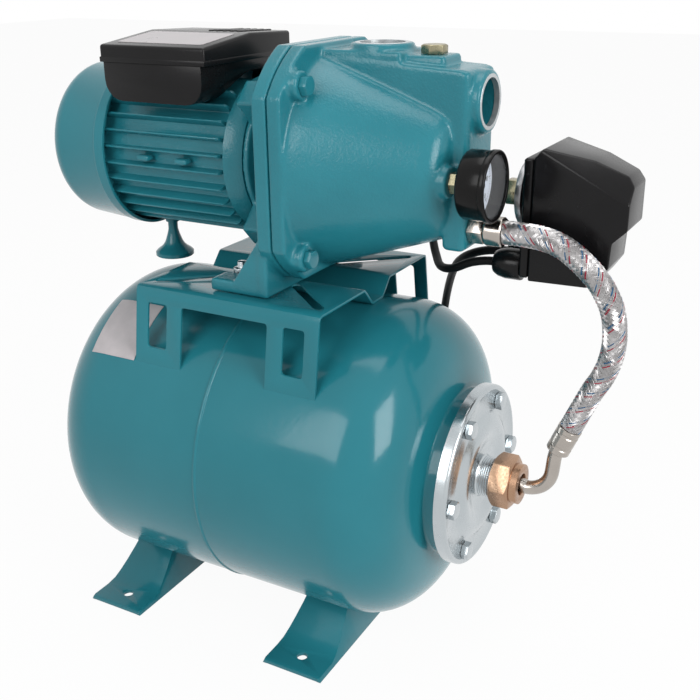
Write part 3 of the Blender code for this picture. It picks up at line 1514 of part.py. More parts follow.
def motor_lead_route():
    y, z = gland_near_y, shaft_z + gland_z
    end_z = shaft_z + box_gland_z
    return [
        (gland_rear + 0.009, y, z), (0.120, y, z - 0.0005), (0.106, y + 0.001, z - 0.004), (0.090, y + 0.005, z - 0.012),
        (0.074, y + 0.017, z - 0.016), (0.060, y + 0.037, z - 0.012), (0.045, y + 0.058, z + 0.002),
        (0.026, y + 0.073, z + 0.024), (0.004, y + 0.080, z + 0.052), (-0.020, y + 0.083, z + 0.080),
        (-0.044, y + 0.084, z + 0.104), (-0.068, y + 0.082, z + 0.123), (-0.088, y + 0.073, z + 0.134),
        (-0.101, y + 0.057, end_z), (box_gland_x, y + 0.040, end_z),
        (box_gland_x, box_far + box_gland_length - 0.009, end_z),
    ]


def mains_lead_route():
    y, z = gland_far_y, shaft_z + gland_z
    coil_x, coil_y = coil_centre
    floor = mains_lead_radius + 0.0005
    return [
        (gland_rear + 0.009, y, z), (0.118, y + 0.0005, z - 0.0005), (0.102, y + 0.003, z - 0.004),
        (0.086, y + 0.012, z - 0.012), (0.071, y + 0.028, z - 0.024), (0.057, y + 0.049, z - 0.042),
        (0.044, y + 0.070, z - 0.066), (0.033, y + 0.088, z - 0.096), (0.024, y + 0.102, z - 0.132),
        (0.018, y + 0.113, z - 0.172), (0.016, y + 0.122, z - 0.212), (0.018, y + 0.132, z - 0.252),
        (0.020, y + 0.144, z - 0.289), (0.016, y + 0.159, z - 0.318), (0.005, y + 0.178, floor + 0.004),
        (-0.009, y + 0.197, floor), (-0.026, y + 0.213, floor), (-0.046, y + 0.2195, floor),
        (coil_x + gap, coil_y + coil_mean_radius, floor),
    ]


def build_leads():
    tube("motor_lead", smooth_route(motor_lead_route(), 0.0100), motor_lead_radius, 2, black_rubber)
    lead = smooth_route(mains_lead_route(), 0.0120)
    tube("mains_lead", lead, mains_lead_radius, 2, black_rubber)
    width = coil_turns_wide * mains_lead_radius
    height = coil_turns_high * 2 * mains_lead_radius
    inner, outer = coil_mean_radius - width, coil_mean_radius + width
    coil = turned("mains_coil", [
        (gap, inner + 0.002), (gap, outer - 0.002), (gap + 0.002, outer), (height - 0.002, outer),
        (height, outer - 0.002), (height, inner + 0.002), (height - 0.002, inner), (gap + 0.002, inner),
    ], (coil_centre[0], coil_centre[1], 0), "Z", 24, black_rubber)
    notch = box("coil_notch", (coil_centre[0], coil_centre[1] + inner - 0.002, -0.001),
                (coil_centre[0] + 0.0600, coil_centre[1] + outer + 0.004, height + 0.001), tool=True)
    carve(coil, notch)
    build_plug()


def build_plug():
    """The plug lies where the lead leaves the coil, its tail against the outer turn."""
    outer = coil_mean_radius + coil_turns_wide * mains_lead_radius + gap
    x = coil_centre[0] - coil_mean_radius
    y = coil_centre[1] - math.sqrt(outer ** 2 - (coil_mean_radius - plug_tail * 0.35) ** 2) - plug_length
    plug = turned("mains_plug", [
        (0.0, 0.0), (0.0, plug_radius - 0.001), (0.001, plug_radius), (plug_length * 0.45, plug_radius),
        (plug_length * 0.65, 0.0115), (plug_length, plug_tail), (plug_length, 0.0),
    ], (x, y, plug_radius), "Y", 16, black_rubber)
    for side in (-1, 1):
        pin = rod("plug_pin_%d" % side, (x + side * 0.0095, y, plug_radius), "Y", 0.0024, -0.019, 0.002,
                  10, tool=True)
        fuse(plug, pin)


build_tank()
build_membrane()
build_flange()
build_air_valve()
build_foot("tank_foot_left", foot_left_x)
build_foot("tank_foot_right", foot_right_x)
build_platform()
build_bracket()
build_foot_bolts()
build_motor_frame()
build_rotating_parts()
build_end_shield()
build_fan_cover()
build_cooling_fan()
build_support_foot()
build_terminal_box()
build_terminal_lid()
build_capacitor()
build_casing()
build_casing_bolts()
build_filler_plug()
build_wet_end()
build_gauge()
build_switch()
build_hose()
build_leads()
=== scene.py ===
import math
import bpy
from mathutils import Euler, Matrix, Vector


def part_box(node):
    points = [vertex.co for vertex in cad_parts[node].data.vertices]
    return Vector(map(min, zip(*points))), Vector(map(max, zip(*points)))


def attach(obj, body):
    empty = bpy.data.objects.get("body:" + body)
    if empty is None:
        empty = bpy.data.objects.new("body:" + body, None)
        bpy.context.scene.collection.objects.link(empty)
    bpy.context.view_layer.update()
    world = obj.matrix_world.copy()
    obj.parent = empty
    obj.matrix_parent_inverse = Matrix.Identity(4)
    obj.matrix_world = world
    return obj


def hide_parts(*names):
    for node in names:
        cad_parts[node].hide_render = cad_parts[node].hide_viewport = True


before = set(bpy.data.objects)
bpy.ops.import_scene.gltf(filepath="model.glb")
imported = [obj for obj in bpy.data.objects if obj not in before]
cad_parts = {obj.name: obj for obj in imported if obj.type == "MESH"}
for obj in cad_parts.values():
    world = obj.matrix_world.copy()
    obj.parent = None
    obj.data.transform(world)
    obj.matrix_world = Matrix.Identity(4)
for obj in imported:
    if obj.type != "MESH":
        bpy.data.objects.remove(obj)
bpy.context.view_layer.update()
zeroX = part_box("pump_casing")[1].x - 0.1254  # the casing's joint face, where part.py counts X from
shaftZ = 0.4102
tankZ = 0.161
platformZ = 0.313
hair = 0.0003
print("frame loaded, joint face at x =", round(zeroX, 5))


def at(x, y, z):
    return Vector((x + zeroX, y, z))


# Camera, solved from the photograph

cameraView = {"place": (0.3874, -0.6817, 0.5608), "pitch": -0.3802, "yaw": 0.5078, "roll": -0.0111,
              "lens": 51.004, "sensor": 36.0}
cameraData = bpy.data.cameras.new("photoCamera")
cameraData.lens = cameraView["lens"]
cameraData.sensor_width = cameraView["sensor"]
camera = bpy.data.objects.new("photoCamera", cameraData)
bpy.context.scene.collection.objects.link(camera)
turn = Euler((math.pi / 2 + cameraView["pitch"], 0, cameraView["yaw"])).to_matrix()
turn = turn @ Matrix.Rotation(cameraView["roll"], 3, "Z")
camera.matrix_world = Matrix.Translation(at(*cameraView["place"])) @ turn.to_4x4()
bpy.context.scene.camera = camera


# Working helpers

def clearSelection():
    if bpy.context.mode != "OBJECT":
        bpy.ops.object.mode_set(mode="OBJECT")
    bpy.ops.object.select_all(action="DESELECT")


def takeUp(piece):
    clearSelection()
    piece.select_set(True)
    bpy.context.view_layer.objects.active = piece


def editAll(piece):
    takeUp(piece)
    bpy.ops.object.mode_set(mode="EDIT")
    bpy.ops.mesh.select_mode(type="VERT")
    bpy.ops.mesh.select_all(action="SELECT")


def leaveEdit():
    bpy.ops.object.mode_set(mode="OBJECT")


def healFaces(piece, reach=0.000004):  # merge doubles, faces outwards
    editAll(piece)
    bpy.ops.mesh.remove_doubles(threshold=reach)
    bpy.ops.mesh.normals_make_consistent(inside=False)
    leaveEdit()


def drawLine(name, points):  # one vertex, drawn on step by step
    clearSelection()
    bpy.ops.mesh.primitive_plane_add(size=0.002, location=points[0])
    piece = bpy.context.active_object
    piece.name = name
    piece.data.name = name
    bpy.ops.object.transform_apply(location=True, rotation=True, scale=True)
    bpy.ops.object.mode_set(mode="EDIT")
    bpy.ops.mesh.select_mode(type="VERT")
    bpy.ops.mesh.select_all(action="SELECT")
    bpy.ops.mesh.merge(type="CENTER")
    for here, there in zip(points, points[1:]):
        bpy.ops.mesh.extrude_vertices_move(TRANSFORM_OT_translate={"value": there - here})
    bpy.ops.mesh.select_all(action="SELECT")
    return piece


axes = {"X": Vector((1, 0, 0)), "Y": Vector((0, 1, 0)), "Z": Vector((0, 0, 1))}
sideways = {"X": Vector((0, 0, 1)), "Y": Vector((0, 0, 1)), "Z": Vector((1, 0, 0))}


def spunPiece(name, profile, centre, axis="X", sides=96):
    # (along, radius) points turned about an axis through centre
    along, out = axes[axis], sideways[axis]
    shift = (zeroX if axis == "X" else 0.0) - centre.dot(along)
    points = [centre + along * (a + shift) + out * r for a, r in profile]
    piece = drawLine(name, points)
    bpy.ops.mesh.spin(steps=sides, angle=2 * math.pi, center=centre, axis=along, use_auto_merge=False)
    leaveEdit()
    healFaces(piece)
    return piece


def pushedPiece(name, outline, push):  # a closed outline filled and extruded
    piece = drawLine(name, list(outline) + [outline[0]])
    bpy.ops.mesh.remove_doubles(threshold=0.000004)
    bpy.ops.mesh.select_all(action="SELECT")
    bpy.ops.mesh.edge_face_add()
    bpy.ops.mesh.extrude_region_move(TRANSFORM_OT_translate={"value": push})
    leaveEdit()
    healFaces(piece)
    return piece


def block(name, low, high, rounding=0.0, steps=3):
    clearSelection()
    low, high = Vector(low), Vector(high)
    bpy.ops.mesh.primitive_cube_add(size=1.0, location=(low + high) / 2)
    piece = bpy.context.active_object
    piece.name = name
    piece.scale = high - low
    bpy.ops.object.transform_apply(location=True, rotation=True, scale=True)
    if rounding:
        bevelEdges(piece, rounding, steps)
    return piece


def bevelEdges(piece, width, steps=2, angle=30):
    takeUp(piece)
    bevel = piece.modifiers.new("edges", "BEVEL")
    bevel.width = width
    bevel.segments = steps
    bevel.limit_method = "ANGLE"
    bevel.angle_limit = math.radians(angle)
    bevel.use_clamp_overlap = True
    bpy.ops.object.modifier_apply(modifier="edges")


def joinPieces(piece, others):
    clearSelection()
    for other in others:
        other.select_set(True)
    piece.select_set(True)
    bpy.context.view_layer.objects.active = piece
    if others:
        bpy.ops.object.join()
    return piece


def cutPiece(piece, tools, operation="DIFFERENCE", solver="EXACT"):  # the tools are used up
    for tool in tools:
        takeUp(piece)
        step = piece.modifiers.new("cut", "BOOLEAN")
        step.operation = operation
        step.solver = solver
        step.object = tool
        bpy.ops.object.modifier_apply(modifier="cut")
        bpy.data.objects.remove(tool, do_unlink=True)
    return piece


def castSkin(piece, grain, rounds):  # one closed skin with soft inner corners, as a casting has
    takeUp(piece)
    skin = piece.modifiers.new("skin", "REMESH")
    skin.mode = "VOXEL"
    skin.voxel_size = grain
    bpy.ops.object.modifier_apply(modifier="skin")
    relax = piece.modifiers.new("relax", "SMOOTH")
    relax.factor = 0.5
    relax.iterations = rounds
    bpy.ops.object.modifier_apply(modifier="relax")
    return piece


def turnPiece(piece, angle, axis, centre):
    editAll(piece)
    bpy.ops.mesh.select_all(action="SELECT")
    bpy.ops.transform.rotate(value=-angle, orient_axis=axis, orient_type="GLOBAL", center_override=centre)
    leaveEdit()


def copyNode(node, name):  # the CAD node's own shape, merged so that it can be finished finer
    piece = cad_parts[node].copy()
    piece.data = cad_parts[node].data.copy()
    piece.name = name
    piece.data.name = name
    for key in list(piece.keys()):
        del piece[key]
    piece.parent = None
    piece.matrix_world = Matrix.Identity(4)
    bpy.context.scene.collection.objects.link(piece)
    editAll(piece)
    bpy.ops.mesh.remove_doubles(threshold=0.00001)
    bpy.ops.mesh.dissolve_limited(angle_limit=math.radians(1.5))
    leaveEdit()
    return piece


def dress(piece, material, body="set", nodes=(), smooth=35):
    takeUp(piece)
    if piece.type == "MESH" and smooth:
        bpy.ops.object.shade_smooth_by_angle(angle=math.radians(smooth))
    piece.data.materials.clear()
    piece.data.materials.append(material)
    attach(piece, body)
    if nodes:
        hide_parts(*nodes)
    return piece


def roundCorners(points, radius, steps=5):  # a closed outline with its corners rounded
    result = []
    for index, corner in enumerate(points):
        here = Vector(corner)
        before = Vector(points[index - 1]) - here
        after = Vector(points[(index + 1) % len(points)]) - here
        reach = min(radius / math.tan(before.angle(after) / 2), before.length * 0.48, after.length * 0.48)
        start, end = here + before.normalized() * reach, here + after.normalized() * reach
        for step in range(steps + 1):
            share = step / steps
            result.append(start.lerp(here, share).lerp(here.lerp(end, share), share))
    return result


def arcPoints(centre, radius, start, end, steps):
    points = []
    for step in range(steps + 1):
        angle = math.radians(start + (end - start) * step / steps)
        points.append((centre[0] + radius * math.cos(angle), centre[1] + radius * math.sin(angle)))
    return points


def smoothRoute(knots, spacing):  # the same smooth line as part.py's
    knots = [Vector(point) for point in knots]
    knots = [2 * knots[0] - knots[1]] + knots + [2 * knots[-1] - knots[-2]]
    dense = []
    for p0, p1, p2, p3 in zip(knots, knots[1:], knots[2:], knots[3:]):
        t1 = (p1 - p0).length ** 0.5
        t2 = t1 + (p2 - p1).length ** 0.5
        t3 = t2 + (p3 - p2).length ** 0.5
        for step in range(24):
            t = t1 + (t2 - t1) * step / 24
            a1 = p0.lerp(p1, t / t1)
            a2 = p1.lerp(p2, (t - t1) / (t2 - t1))
            a3 = p2.lerp(p3, (t - t2) / (t3 - t2))
            b1, b2 = a1.lerp(a2, t / t2), a2.lerp(a3, (t - t1) / (t3 - t1))
            dense.append(b1.lerp(b2, (t - t1) / (t2 - t1)))
    dense.append(knots[-2])
    lengths = [0.0]
    for first, second in zip(dense, dense[1:]):
        lengths.append(lengths[-1] + (second - first).length)
    count = max(2, round(lengths[-1] / spacing))
    points, index = [], 0
    for step in range(count + 1):
        target = lengths[-1] * step / count
        while index < len(dense) - 2 and lengths[index + 1] < target:
            index += 1
        span = lengths[index + 1] - lengths[index]
        points.append(dense[index].lerp(dense[index + 1], (target - lengths[index]) / span))
    return points


def lineLength(points):
    return sum((b - a).length for a, b in zip(points, points[1:]))


def cordCurve(name, points, radius, sides=3):
    curve = bpy.data.curves.new(name, "CURVE")
    curve.dimensions = "3D"
    curve.bevel_depth = radius
    curve.bevel_resolution = sides
    curve.use_fill_caps = True
    spline = curve.splines.new("POLY")
    spline.points.add(len(points) - 1)
    for point, place in zip(spline.points, points):
        point.co = (*place, 1)
    spline.use_smooth = True
    piece = bpy.data.objects.new(name, curve)
    bpy.context.scene.collection.objects.link(piece)
    return piece


# Finishes

def nodeGroup(name, inputs, outputs):
    group = bpy.data.node_groups.new(name, "ShaderNodeTree")
    for title, kind, value in inputs:
        socket = group.interface.new_socket(name=title, in_out="INPUT", socket_type=kind)
        socket.default_value = value
    for title, kind in outputs:
        group.interface.new_socket(name=title, in_out="OUTPUT", socket_type=kind)
    return group, group.nodes.new("NodeGroupInput"), group.nodes.new("NodeGroupOutput")


def makePaintSkin():  # mottled colour, uneven gloss and orange peel or cast grain
    group, entry, result = nodeGroup("paintSkin", [
        ("Colour", "NodeSocketColor", (0.03, 0.19, 0.23, 1)),
        ("Shade", "NodeSocketColor", (0.02, 0.15, 0.18, 1)), ("Mottle Scale", "NodeSocketFloat", 9.0),
        ("Peel Scale", "NodeSocketFloat", 260.0), ("Grain Scale", "NodeSocketFloat", 900.0),
        ("Grain Share", "NodeSocketFloat", 0.2), ("Gloss Low", "NodeSocketFloat", 0.2),
        ("Gloss High", "NodeSocketFloat", 0.35),
    ], [("Colour", "NodeSocketColor"), ("Roughness", "NodeSocketFloat"), ("Height", "NodeSocketFloat")])
    nodes, links = group.nodes, group.links
    place = nodes.new("ShaderNodeTexCoord")
    mottle = nodes.new("ShaderNodeTexNoise")
    mottle.inputs["Detail"].default_value = 4
    peel = nodes.new("ShaderNodeTexNoise")
    peel.inputs["Detail"].default_value = 1
    grain = nodes.new("ShaderNodeTexNoise")
    grain.inputs["Detail"].default_value = 3
    for noise, title in ((mottle, "Mottle Scale"), (peel, "Peel Scale"), (grain, "Grain Scale")):
        links.new(place.outputs["Object"], noise.inputs["Vector"])
        links.new(entry.outputs[title], noise.inputs["Scale"])
    blend = nodes.new("ShaderNodeMix")
    blend.data_type = "RGBA"
    stretch = nodes.new("ShaderNodeMapRange")
    stretch.inputs["From Min"].default_value = 0.35
    stretch.inputs["From Max"].default_value = 0.65
    links.new(mottle.outputs["Fac"], stretch.inputs["Value"])
    links.new(stretch.outputs["Result"], blend.inputs["Factor"])
    links.new(entry.outputs["Shade"], blend.inputs[6])
    links.new(entry.outputs["Colour"], blend.inputs[7])
    links.new(blend.outputs[2], result.inputs["Colour"])
    gloss = nodes.new("ShaderNodeMapRange")
    links.new(mottle.outputs["Fac"], gloss.inputs["Value"])
    gloss.inputs["From Min"].default_value = 0.3
    gloss.inputs["From Max"].default_value = 0.7
    links.new(entry.outputs["Gloss Low"], gloss.inputs["To Min"])
    links.new(entry.outputs["Gloss High"], gloss.inputs["To Max"])
    links.new(gloss.outputs["Result"], result.inputs["Roughness"])
    heights = nodes.new("ShaderNodeMix")
    heights.data_type = "FLOAT"
    links.new(entry.outputs["Grain Share"], heights.inputs["Factor"])
    links.new(peel.outputs["Fac"], heights.inputs[2])
    links.new(grain.outputs["Fac"], heights.inputs[3])
    links.new(heights.outputs[0], result.inputs["Height"])
    return group


def makeMetalSkin():  # cloudy plating with fine brushed streaks along one axis
    group, entry, result = nodeGroup("metalSkin", [
        ("Colour", "NodeSocketColor", (0.6, 0.6, 0.6, 1)), ("Stain", "NodeSocketColor", (0.4, 0.4, 0.4, 1)),
        ("Cloud Scale", "NodeSocketFloat", 40.0), ("Stretch", "NodeSocketVector", (1, 1, 1)),
        ("Gloss Low", "NodeSocketFloat", 0.18), ("Gloss High", "NodeSocketFloat", 0.38),
    ], [("Colour", "NodeSocketColor"), ("Roughness", "NodeSocketFloat"), ("Height", "NodeSocketFloat")])
    nodes, links = group.nodes, group.links
    place = nodes.new("ShaderNodeTexCoord")
    cloud = nodes.new("ShaderNodeTexNoise")
    cloud.inputs["Detail"].default_value = 5
    links.new(place.outputs["Object"], cloud.inputs["Vector"])
    links.new(entry.outputs["Cloud Scale"], cloud.inputs["Scale"])
    scaled = nodes.new("ShaderNodeVectorMath")
    scaled.operation = "MULTIPLY"
    links.new(place.outputs["Object"], scaled.inputs[0])
    links.new(entry.outputs["Stretch"], scaled.inputs[1])
    streak = nodes.new("ShaderNodeTexNoise")
    streak.inputs["Scale"].default_value = 600
    streak.inputs["Detail"].default_value = 2
    links.new(scaled.outputs[0], streak.inputs["Vector"])
    blend = nodes.new("ShaderNodeMix")
    blend.data_type = "RGBA"
    links.new(cloud.outputs["Fac"], blend.inputs["Factor"])
    links.new(entry.outputs["Stain"], blend.inputs[6])
    links.new(entry.outputs["Colour"], blend.inputs[7])
    links.new(blend.outputs[2], result.inputs["Colour"])
    gloss = nodes.new("ShaderNodeMapRange")
    links.new(streak.outputs["Fac"], gloss.inputs["Value"])
    gloss.inputs["From Min"].default_value = 0.3
    gloss.inputs["From Max"].default_value = 0.7
    links.new(entry.outputs["Gloss Low"], gloss.inputs["To Min"])
    links.new(entry.outputs["Gloss High"], gloss.inputs["To Max"])
    links.new(gloss.outputs["Result"], result.inputs["Roughness"])
    links.new(streak.outputs["Fac"], result.inputs["Height"])
    return group


paintSkin = makePaintSkin()
metalSkin = makeMetalSkin()


def finishOf(name, group, values, bump, reach, metallic=0.0, coat=0.0, specular=0.5, coatRoughness=0.06):
    material = bpy.data.materials.new(name)
    material.use_nodes = True
    nodes, links = material.node_tree.nodes, material.node_tree.links
    shader = nodes["Principled BSDF"]
    skin = nodes.new("ShaderNodeGroup")
    skin.node_tree = group
    for title, value in values.items():
        skin.inputs[title].default_value = value
    links.new(skin.outputs["Colour"], shader.inputs["Base Color"])
    links.new(skin.outputs["Roughness"], shader.inputs["Roughness"])
    relief = nodes.new("ShaderNodeBump")
    relief.inputs["Strength"].default_value = bump
    relief.inputs["Distance"].default_value = reach
    links.new(skin.outputs["Height"], relief.inputs["Height"])
    links.new(relief.outputs["Normal"], shader.inputs["Normal"])
    shader.inputs["Metallic"].default_value = metallic
    shader.inputs["Coat Weight"].default_value = coat
    shader.inputs["Coat Roughness"].default_value = coatRoughness
    shader.inputs["Specular IOR Level"].default_value = specular
    return material


tealPaint = finishOf("tealPaint", paintSkin, {
    "Colour": (0.017, 0.176, 0.217, 1), "Shade": (0.013, 0.158, 0.196, 1), "Mottle Scale": 7,
    "Peel Scale": 210, "Grain Share": 0.1, "Gloss Low": 0.13, "Gloss High": 0.21,
}, 0.10, 0.0006, coat=0.12, specular=0.26)
tealCast = finishOf("tealCast", paintSkin, {
    "Colour": (0.020, 0.190, 0.234, 1), "Shade": (0.014, 0.165, 0.206, 1), "Mottle Scale": 16,
    "Peel Scale": 190, "Grain Scale": 620, "Grain Share": 0.6, "Gloss Low": 0.15, "Gloss High": 0.26,
}, 0.40, 0.0012, coat=0.12, specular=0.28)
blackPlastic = finishOf("blackPlastic", paintSkin, {
    "Colour": (0.0065, 0.0062, 0.0068, 1), "Shade": (0.0048, 0.0046, 0.0050, 1), "Mottle Scale": 20,
    "Peel Scale": 700, "Grain Scale": 1800, "Grain Share": 0.7, "Gloss Low": 0.18, "Gloss High": 0.28,
}, 0.08, 0.0003, specular=0.2)
gaugeBlack = finishOf("gaugeBlack", paintSkin, {
    "Colour": (0.0055, 0.0052, 0.0052, 1), "Shade": (0.0040, 0.0038, 0.0038, 1), "Mottle Scale": 30,
    "Peel Scale": 400, "Grain Share": 0.1, "Gloss Low": 0.14, "Gloss High": 0.22,
}, 0.05, 0.0003, specular=0.16)
cableRubber = finishOf("cableRubber", paintSkin, {
    "Colour": (0.0075, 0.0075, 0.0080, 1), "Shade": (0.0055, 0.0055, 0.0060, 1), "Mottle Scale": 30,
    "Peel Scale": 500, "Grain Scale": 1500, "Grain Share": 0.8, "Gloss Low": 0.42, "Gloss High": 0.58,
}, 0.12, 0.0003, specular=0.12)
greyPlastic = finishOf("greyPlastic", paintSkin, {
    "Colour": (0.30, 0.30, 0.31, 1), "Shade": (0.26, 0.26, 0.27, 1), "Grain Share": 0.6,
    "Gloss Low": 0.4, "Gloss High": 0.55,
}, 0.1, 0.0003)
zincPlate = finishOf("zincPlate", metalSkin, {
    "Colour": (0.56, 0.60, 0.62, 1), "Stain": (0.44, 0.48, 0.50, 1), "Cloud Scale": 14,
    "Stretch": (0.1, 0.3, 0.3), "Gloss Low": 0.20, "Gloss High": 0.28,
}, 0.012, 0.0001, metallic=1.0)
brassMetal = finishOf("brassMetal", metalSkin, {
    "Colour": (0.50, 0.33, 0.22, 1), "Stain": (0.33, 0.18, 0.11, 1), "Cloud Scale": 60,
    "Stretch": (1, 0.25, 1), "Gloss Low": 0.22, "Gloss High": 0.42,
}, 0.10, 0.0002, metallic=1.0)
oliveBrass = finishOf("oliveBrass", metalSkin, {
    "Colour": (0.40, 0.36, 0.24, 1), "Stain": (0.24, 0.22, 0.14, 1), "Cloud Scale": 60,
    "Stretch": (1, 0.3, 1), "Gloss Low": 0.22, "Gloss High": 0.40,
}, 0.10, 0.0002, metallic=1.0)
nickelPlate = finishOf("nickelPlate", metalSkin, {
    "Colour": (0.50, 0.46, 0.42, 1), "Stain": (0.36, 0.33, 0.30, 1), "Cloud Scale": 50,
    "Stretch": (1, 1, 0.3), "Gloss Low": 0.14, "Gloss High": 0.26,
}, 0.05, 0.0002, metallic=1.0)
braidSteel = finishOf("braidSteel", metalSkin, {
    "Colour": (0.52, 0.51, 0.51, 1), "Stain": (0.40, 0.39, 0.39, 1), "Cloud Scale": 90,
    "Stretch": (1, 1, 1), "Gloss Low": 0.34, "Gloss High": 0.42,
}, 0.0, 0.0001, metallic=1.0)
dullSteel = finishOf("dullSteel", metalSkin, {
    "Colour": (0.42, 0.42, 0.43, 1), "Stain": (0.30, 0.30, 0.31, 1), "Cloud Scale": 45,
    "Gloss Low": 0.3, "Gloss High": 0.5,
}, 0.1, 0.0002, metallic=1.0)
copperWire = finishOf("copperWire", metalSkin, {
    "Colour": (0.50, 0.20, 0.09, 1), "Stain": (0.36, 0.13, 0.06, 1), "Cloud Scale": 60,
    "Gloss Low": 0.3, "Gloss High": 0.5,
}, 0.1, 0.0002, metallic=0.8)
redThread = finishOf("redThread", paintSkin, {
    "Colour": (0.36, 0.015, 0.045, 1), "Shade": (0.26, 0.010, 0.030, 1), "Mottle Scale": 200,
    "Grain Share": 0.5,
}, 0.1, 0.0002)
blueThread = finishOf("blueThread", paintSkin, {
    "Colour": (0.02, 0.12, 0.25, 1), "Shade": (0.015, 0.08, 0.18, 1), "Mottle Scale": 200,
    "Grain Share": 0.5,
}, 0.1, 0.0002)
dialCard = finishOf("dialCard", paintSkin, {
    "Colour": (0.74, 0.80, 0.90, 1), "Shade": (0.70, 0.76, 0.86, 1), "Mottle Scale": 60,
    "Grain Share": 0.5, "Gloss Low": 0.4, "Gloss High": 0.5,
}, 0.03, 0.0001)
dialInk = finishOf("dialInk", paintSkin, {
    "Colour": (0.012, 0.012, 0.014, 1), "Shade": (0.009, 0.009, 0.010, 1), "Mottle Scale": 200,
    "Grain Share": 0.5, "Gloss Low": 0.4, "Gloss High": 0.5,
}, 0.03, 0.0001)
bareLabel = finishOf("bareLabel", paintSkin, {
    "Colour": (0.46, 0.43, 0.44, 1), "Shade": (0.38, 0.36, 0.37, 1), "Mottle Scale": 50,
    "Peel Scale": 120, "Grain Share": 0.3, "Gloss Low": 0.25, "Gloss High": 0.40,
}, 0.05, 0.0002)
machinedRim = finishOf("machinedRim", metalSkin, {
    "Colour": (0.60, 0.62, 0.63, 1), "Stain": (0.42, 0.45, 0.46, 1), "Cloud Scale": 70,
    "Stretch": (0.2, 1, 1), "Gloss Low": 0.30, "Gloss High": 0.48,
}, 0.10, 0.0002, metallic=0.7)
lensGlass = finishOf("lensGlass", paintSkin, {
    "Colour": (0.92, 0.94, 0.96, 1), "Shade": (0.90, 0.92, 0.95, 1), "Grain Share": 0.0,
    "Gloss Low": 0.03, "Gloss High": 0.06,
}, 0.01, 0.0001)
lensGlass.node_tree.nodes["Principled BSDF"].inputs["Alpha"].default_value = 0.05
lensGlass.surface_render_method = "BLENDED"
print("finishes made")

# CAD nodes that stay as they are, in their own finish
keptNodes = {
    "tank_membrane": cableRubber, "air_valve": brassMetal, "air_valve_cap": blackPlastic,
    "stator": copperWire, "motor_rotor": dullSteel, "bearing_front": dullSteel, "bearing_rear": dullSteel,
    "motor_end_shield": tealCast, "cooling_fan": blackPlastic, "impeller": brassMetal,
    "shaft_seal": cableRubber, "diffuser": greyPlastic, "ejector_nozzle": brassMetal,
    "capacitor": greyPlastic, "switch_lever": dullSteel, "switch_spring": dullSteel,
    "gauge_needle": dialInk, "gauge_dial": dialCard, "gauge_stem": oliveBrass,
}
for node, material in keptNodes.items():
    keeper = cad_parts[node]
    keeper.data.materials.clear()
    keeper.data.materials.append(material)


# Cords come first

hoseValues = {"drop": 0.0395, "endX": 0.20203, "endZ": 0.2210, "core": 0.0079,
              "carriers": 12, "wires": 3, "wire": 0.00043, "lift": 0.00026, "pitch": 0.046}


def hosePath():
    top = shaftZ - hoseValues["drop"]
    x, low = hoseValues["endX"], hoseValues["endZ"]
    return [at(*p) for p in [
        (0.1450 + hair, -0.012, top), (0.1600, -0.012, top), (0.1760, -0.0125, top - 0.0012),
        (0.1900, -0.0130, top - 0.0055), (0.2050, -0.0130, top - 0.0155), (0.2180, -0.012, top - 0.0290),
        (0.2270, -0.010, top - 0.0460), (0.2300, -0.007, top - 0.0640), (0.2290, -0.004, top - 0.0830),
        (0.2235, -0.002, top - 0.1020), (x + 0.0130, 0, low + 0.0310), (x + 0.0050, 0, low + 0.0120),
        (x, 0, low),
    ]]


def sideFrames(points):  # two steady directions across the line at each point
    frames = []
    across = None
    for index, here in enumerate(points):
        ahead = (points[min(index + 1, len(points) - 1)] - points[max(index - 1, 0)]).normalized()
        across = Vector((0, 1, 0)) if across is None else across
        across = (across - ahead * across.dot(ahead)).normalized()
        frames.append((across, ahead.cross(across)))
    return frames


def makeHose():
    v = hoseValues
    line = smoothRoute(hosePath(), 0.0040)
    core = cordCurve("hoseCore", line, v["core"], 6)
    dress(core, cableRubber, nodes=["braided_hose"])
    fine = smoothRoute(hosePath(), 0.0018)
    frames = sideFrames(fine)
    length = lineLength(fine)
    step = length / (len(fine) - 1)
    bundles = {"braidSteel": [], "redThread": [], "blueThread": []}
    for hand in (1, -1):
        for carrier in range(v["carriers"]):
            start = 2 * math.pi * carrier / v["carriers"]
            for wire in range(v["wires"]):
                spread = (wire - (v["wires"] - 1) / 2) * 2 * math.pi / v["carriers"] / v["wires"] * 0.93
                strand = []
                for index, here in enumerate(fine):
                    run = 2 * math.pi * index * step / v["pitch"]
                    angle = start + spread + hand * run
                    crossing = (start + hand * 2 * run) * v["carriers"] / (2 * math.pi) + carrier
                    lift = hand * v["lift"] * math.sin(math.pi / 2 * crossing + math.pi / 4)
                    reach = v["core"] + v["wire"] * 0.85 + v["lift"] * 0.4 + lift
                    across, up = frames[index]
                    strand.append(here + (across * math.cos(angle) + up * math.sin(angle)) * reach)
                kind = "braidSteel"
                if hand == 1 and wire == 1:
                    kind = {0: "redThread", 1: "blueThread"}.get(carrier % 4, "braidSteel")
                bundles[kind].append(strand)
    for kind, strands in bundles.items():
        curve = bpy.data.curves.new(kind + "Strands", "CURVE")
        curve.dimensions = "3D"
        curve.bevel_depth = v["wire"] * (1.0 if kind == "braidSteel" else 1.15)
        curve.bevel_resolution = 0
        for strand in strands:
            spline = curve.splines.new("POLY")
            spline.points.add(len(strand) - 1)
            for point, place in zip(spline.points, strand):
                point.co = (*place, 1)
            spline.use_smooth = True
        piece = bpy.data.objects.new(kind + "Strands", curve)
        bpy.context.scene.collection.objects.link(piece)
        takeUp(piece)
        bpy.ops.object.convert(target="MESH")
        piece = bpy.context.active_object
        dress(piece, bpy.data.materials[kind], smooth=75)
    return line


hoseLine = makeHose()

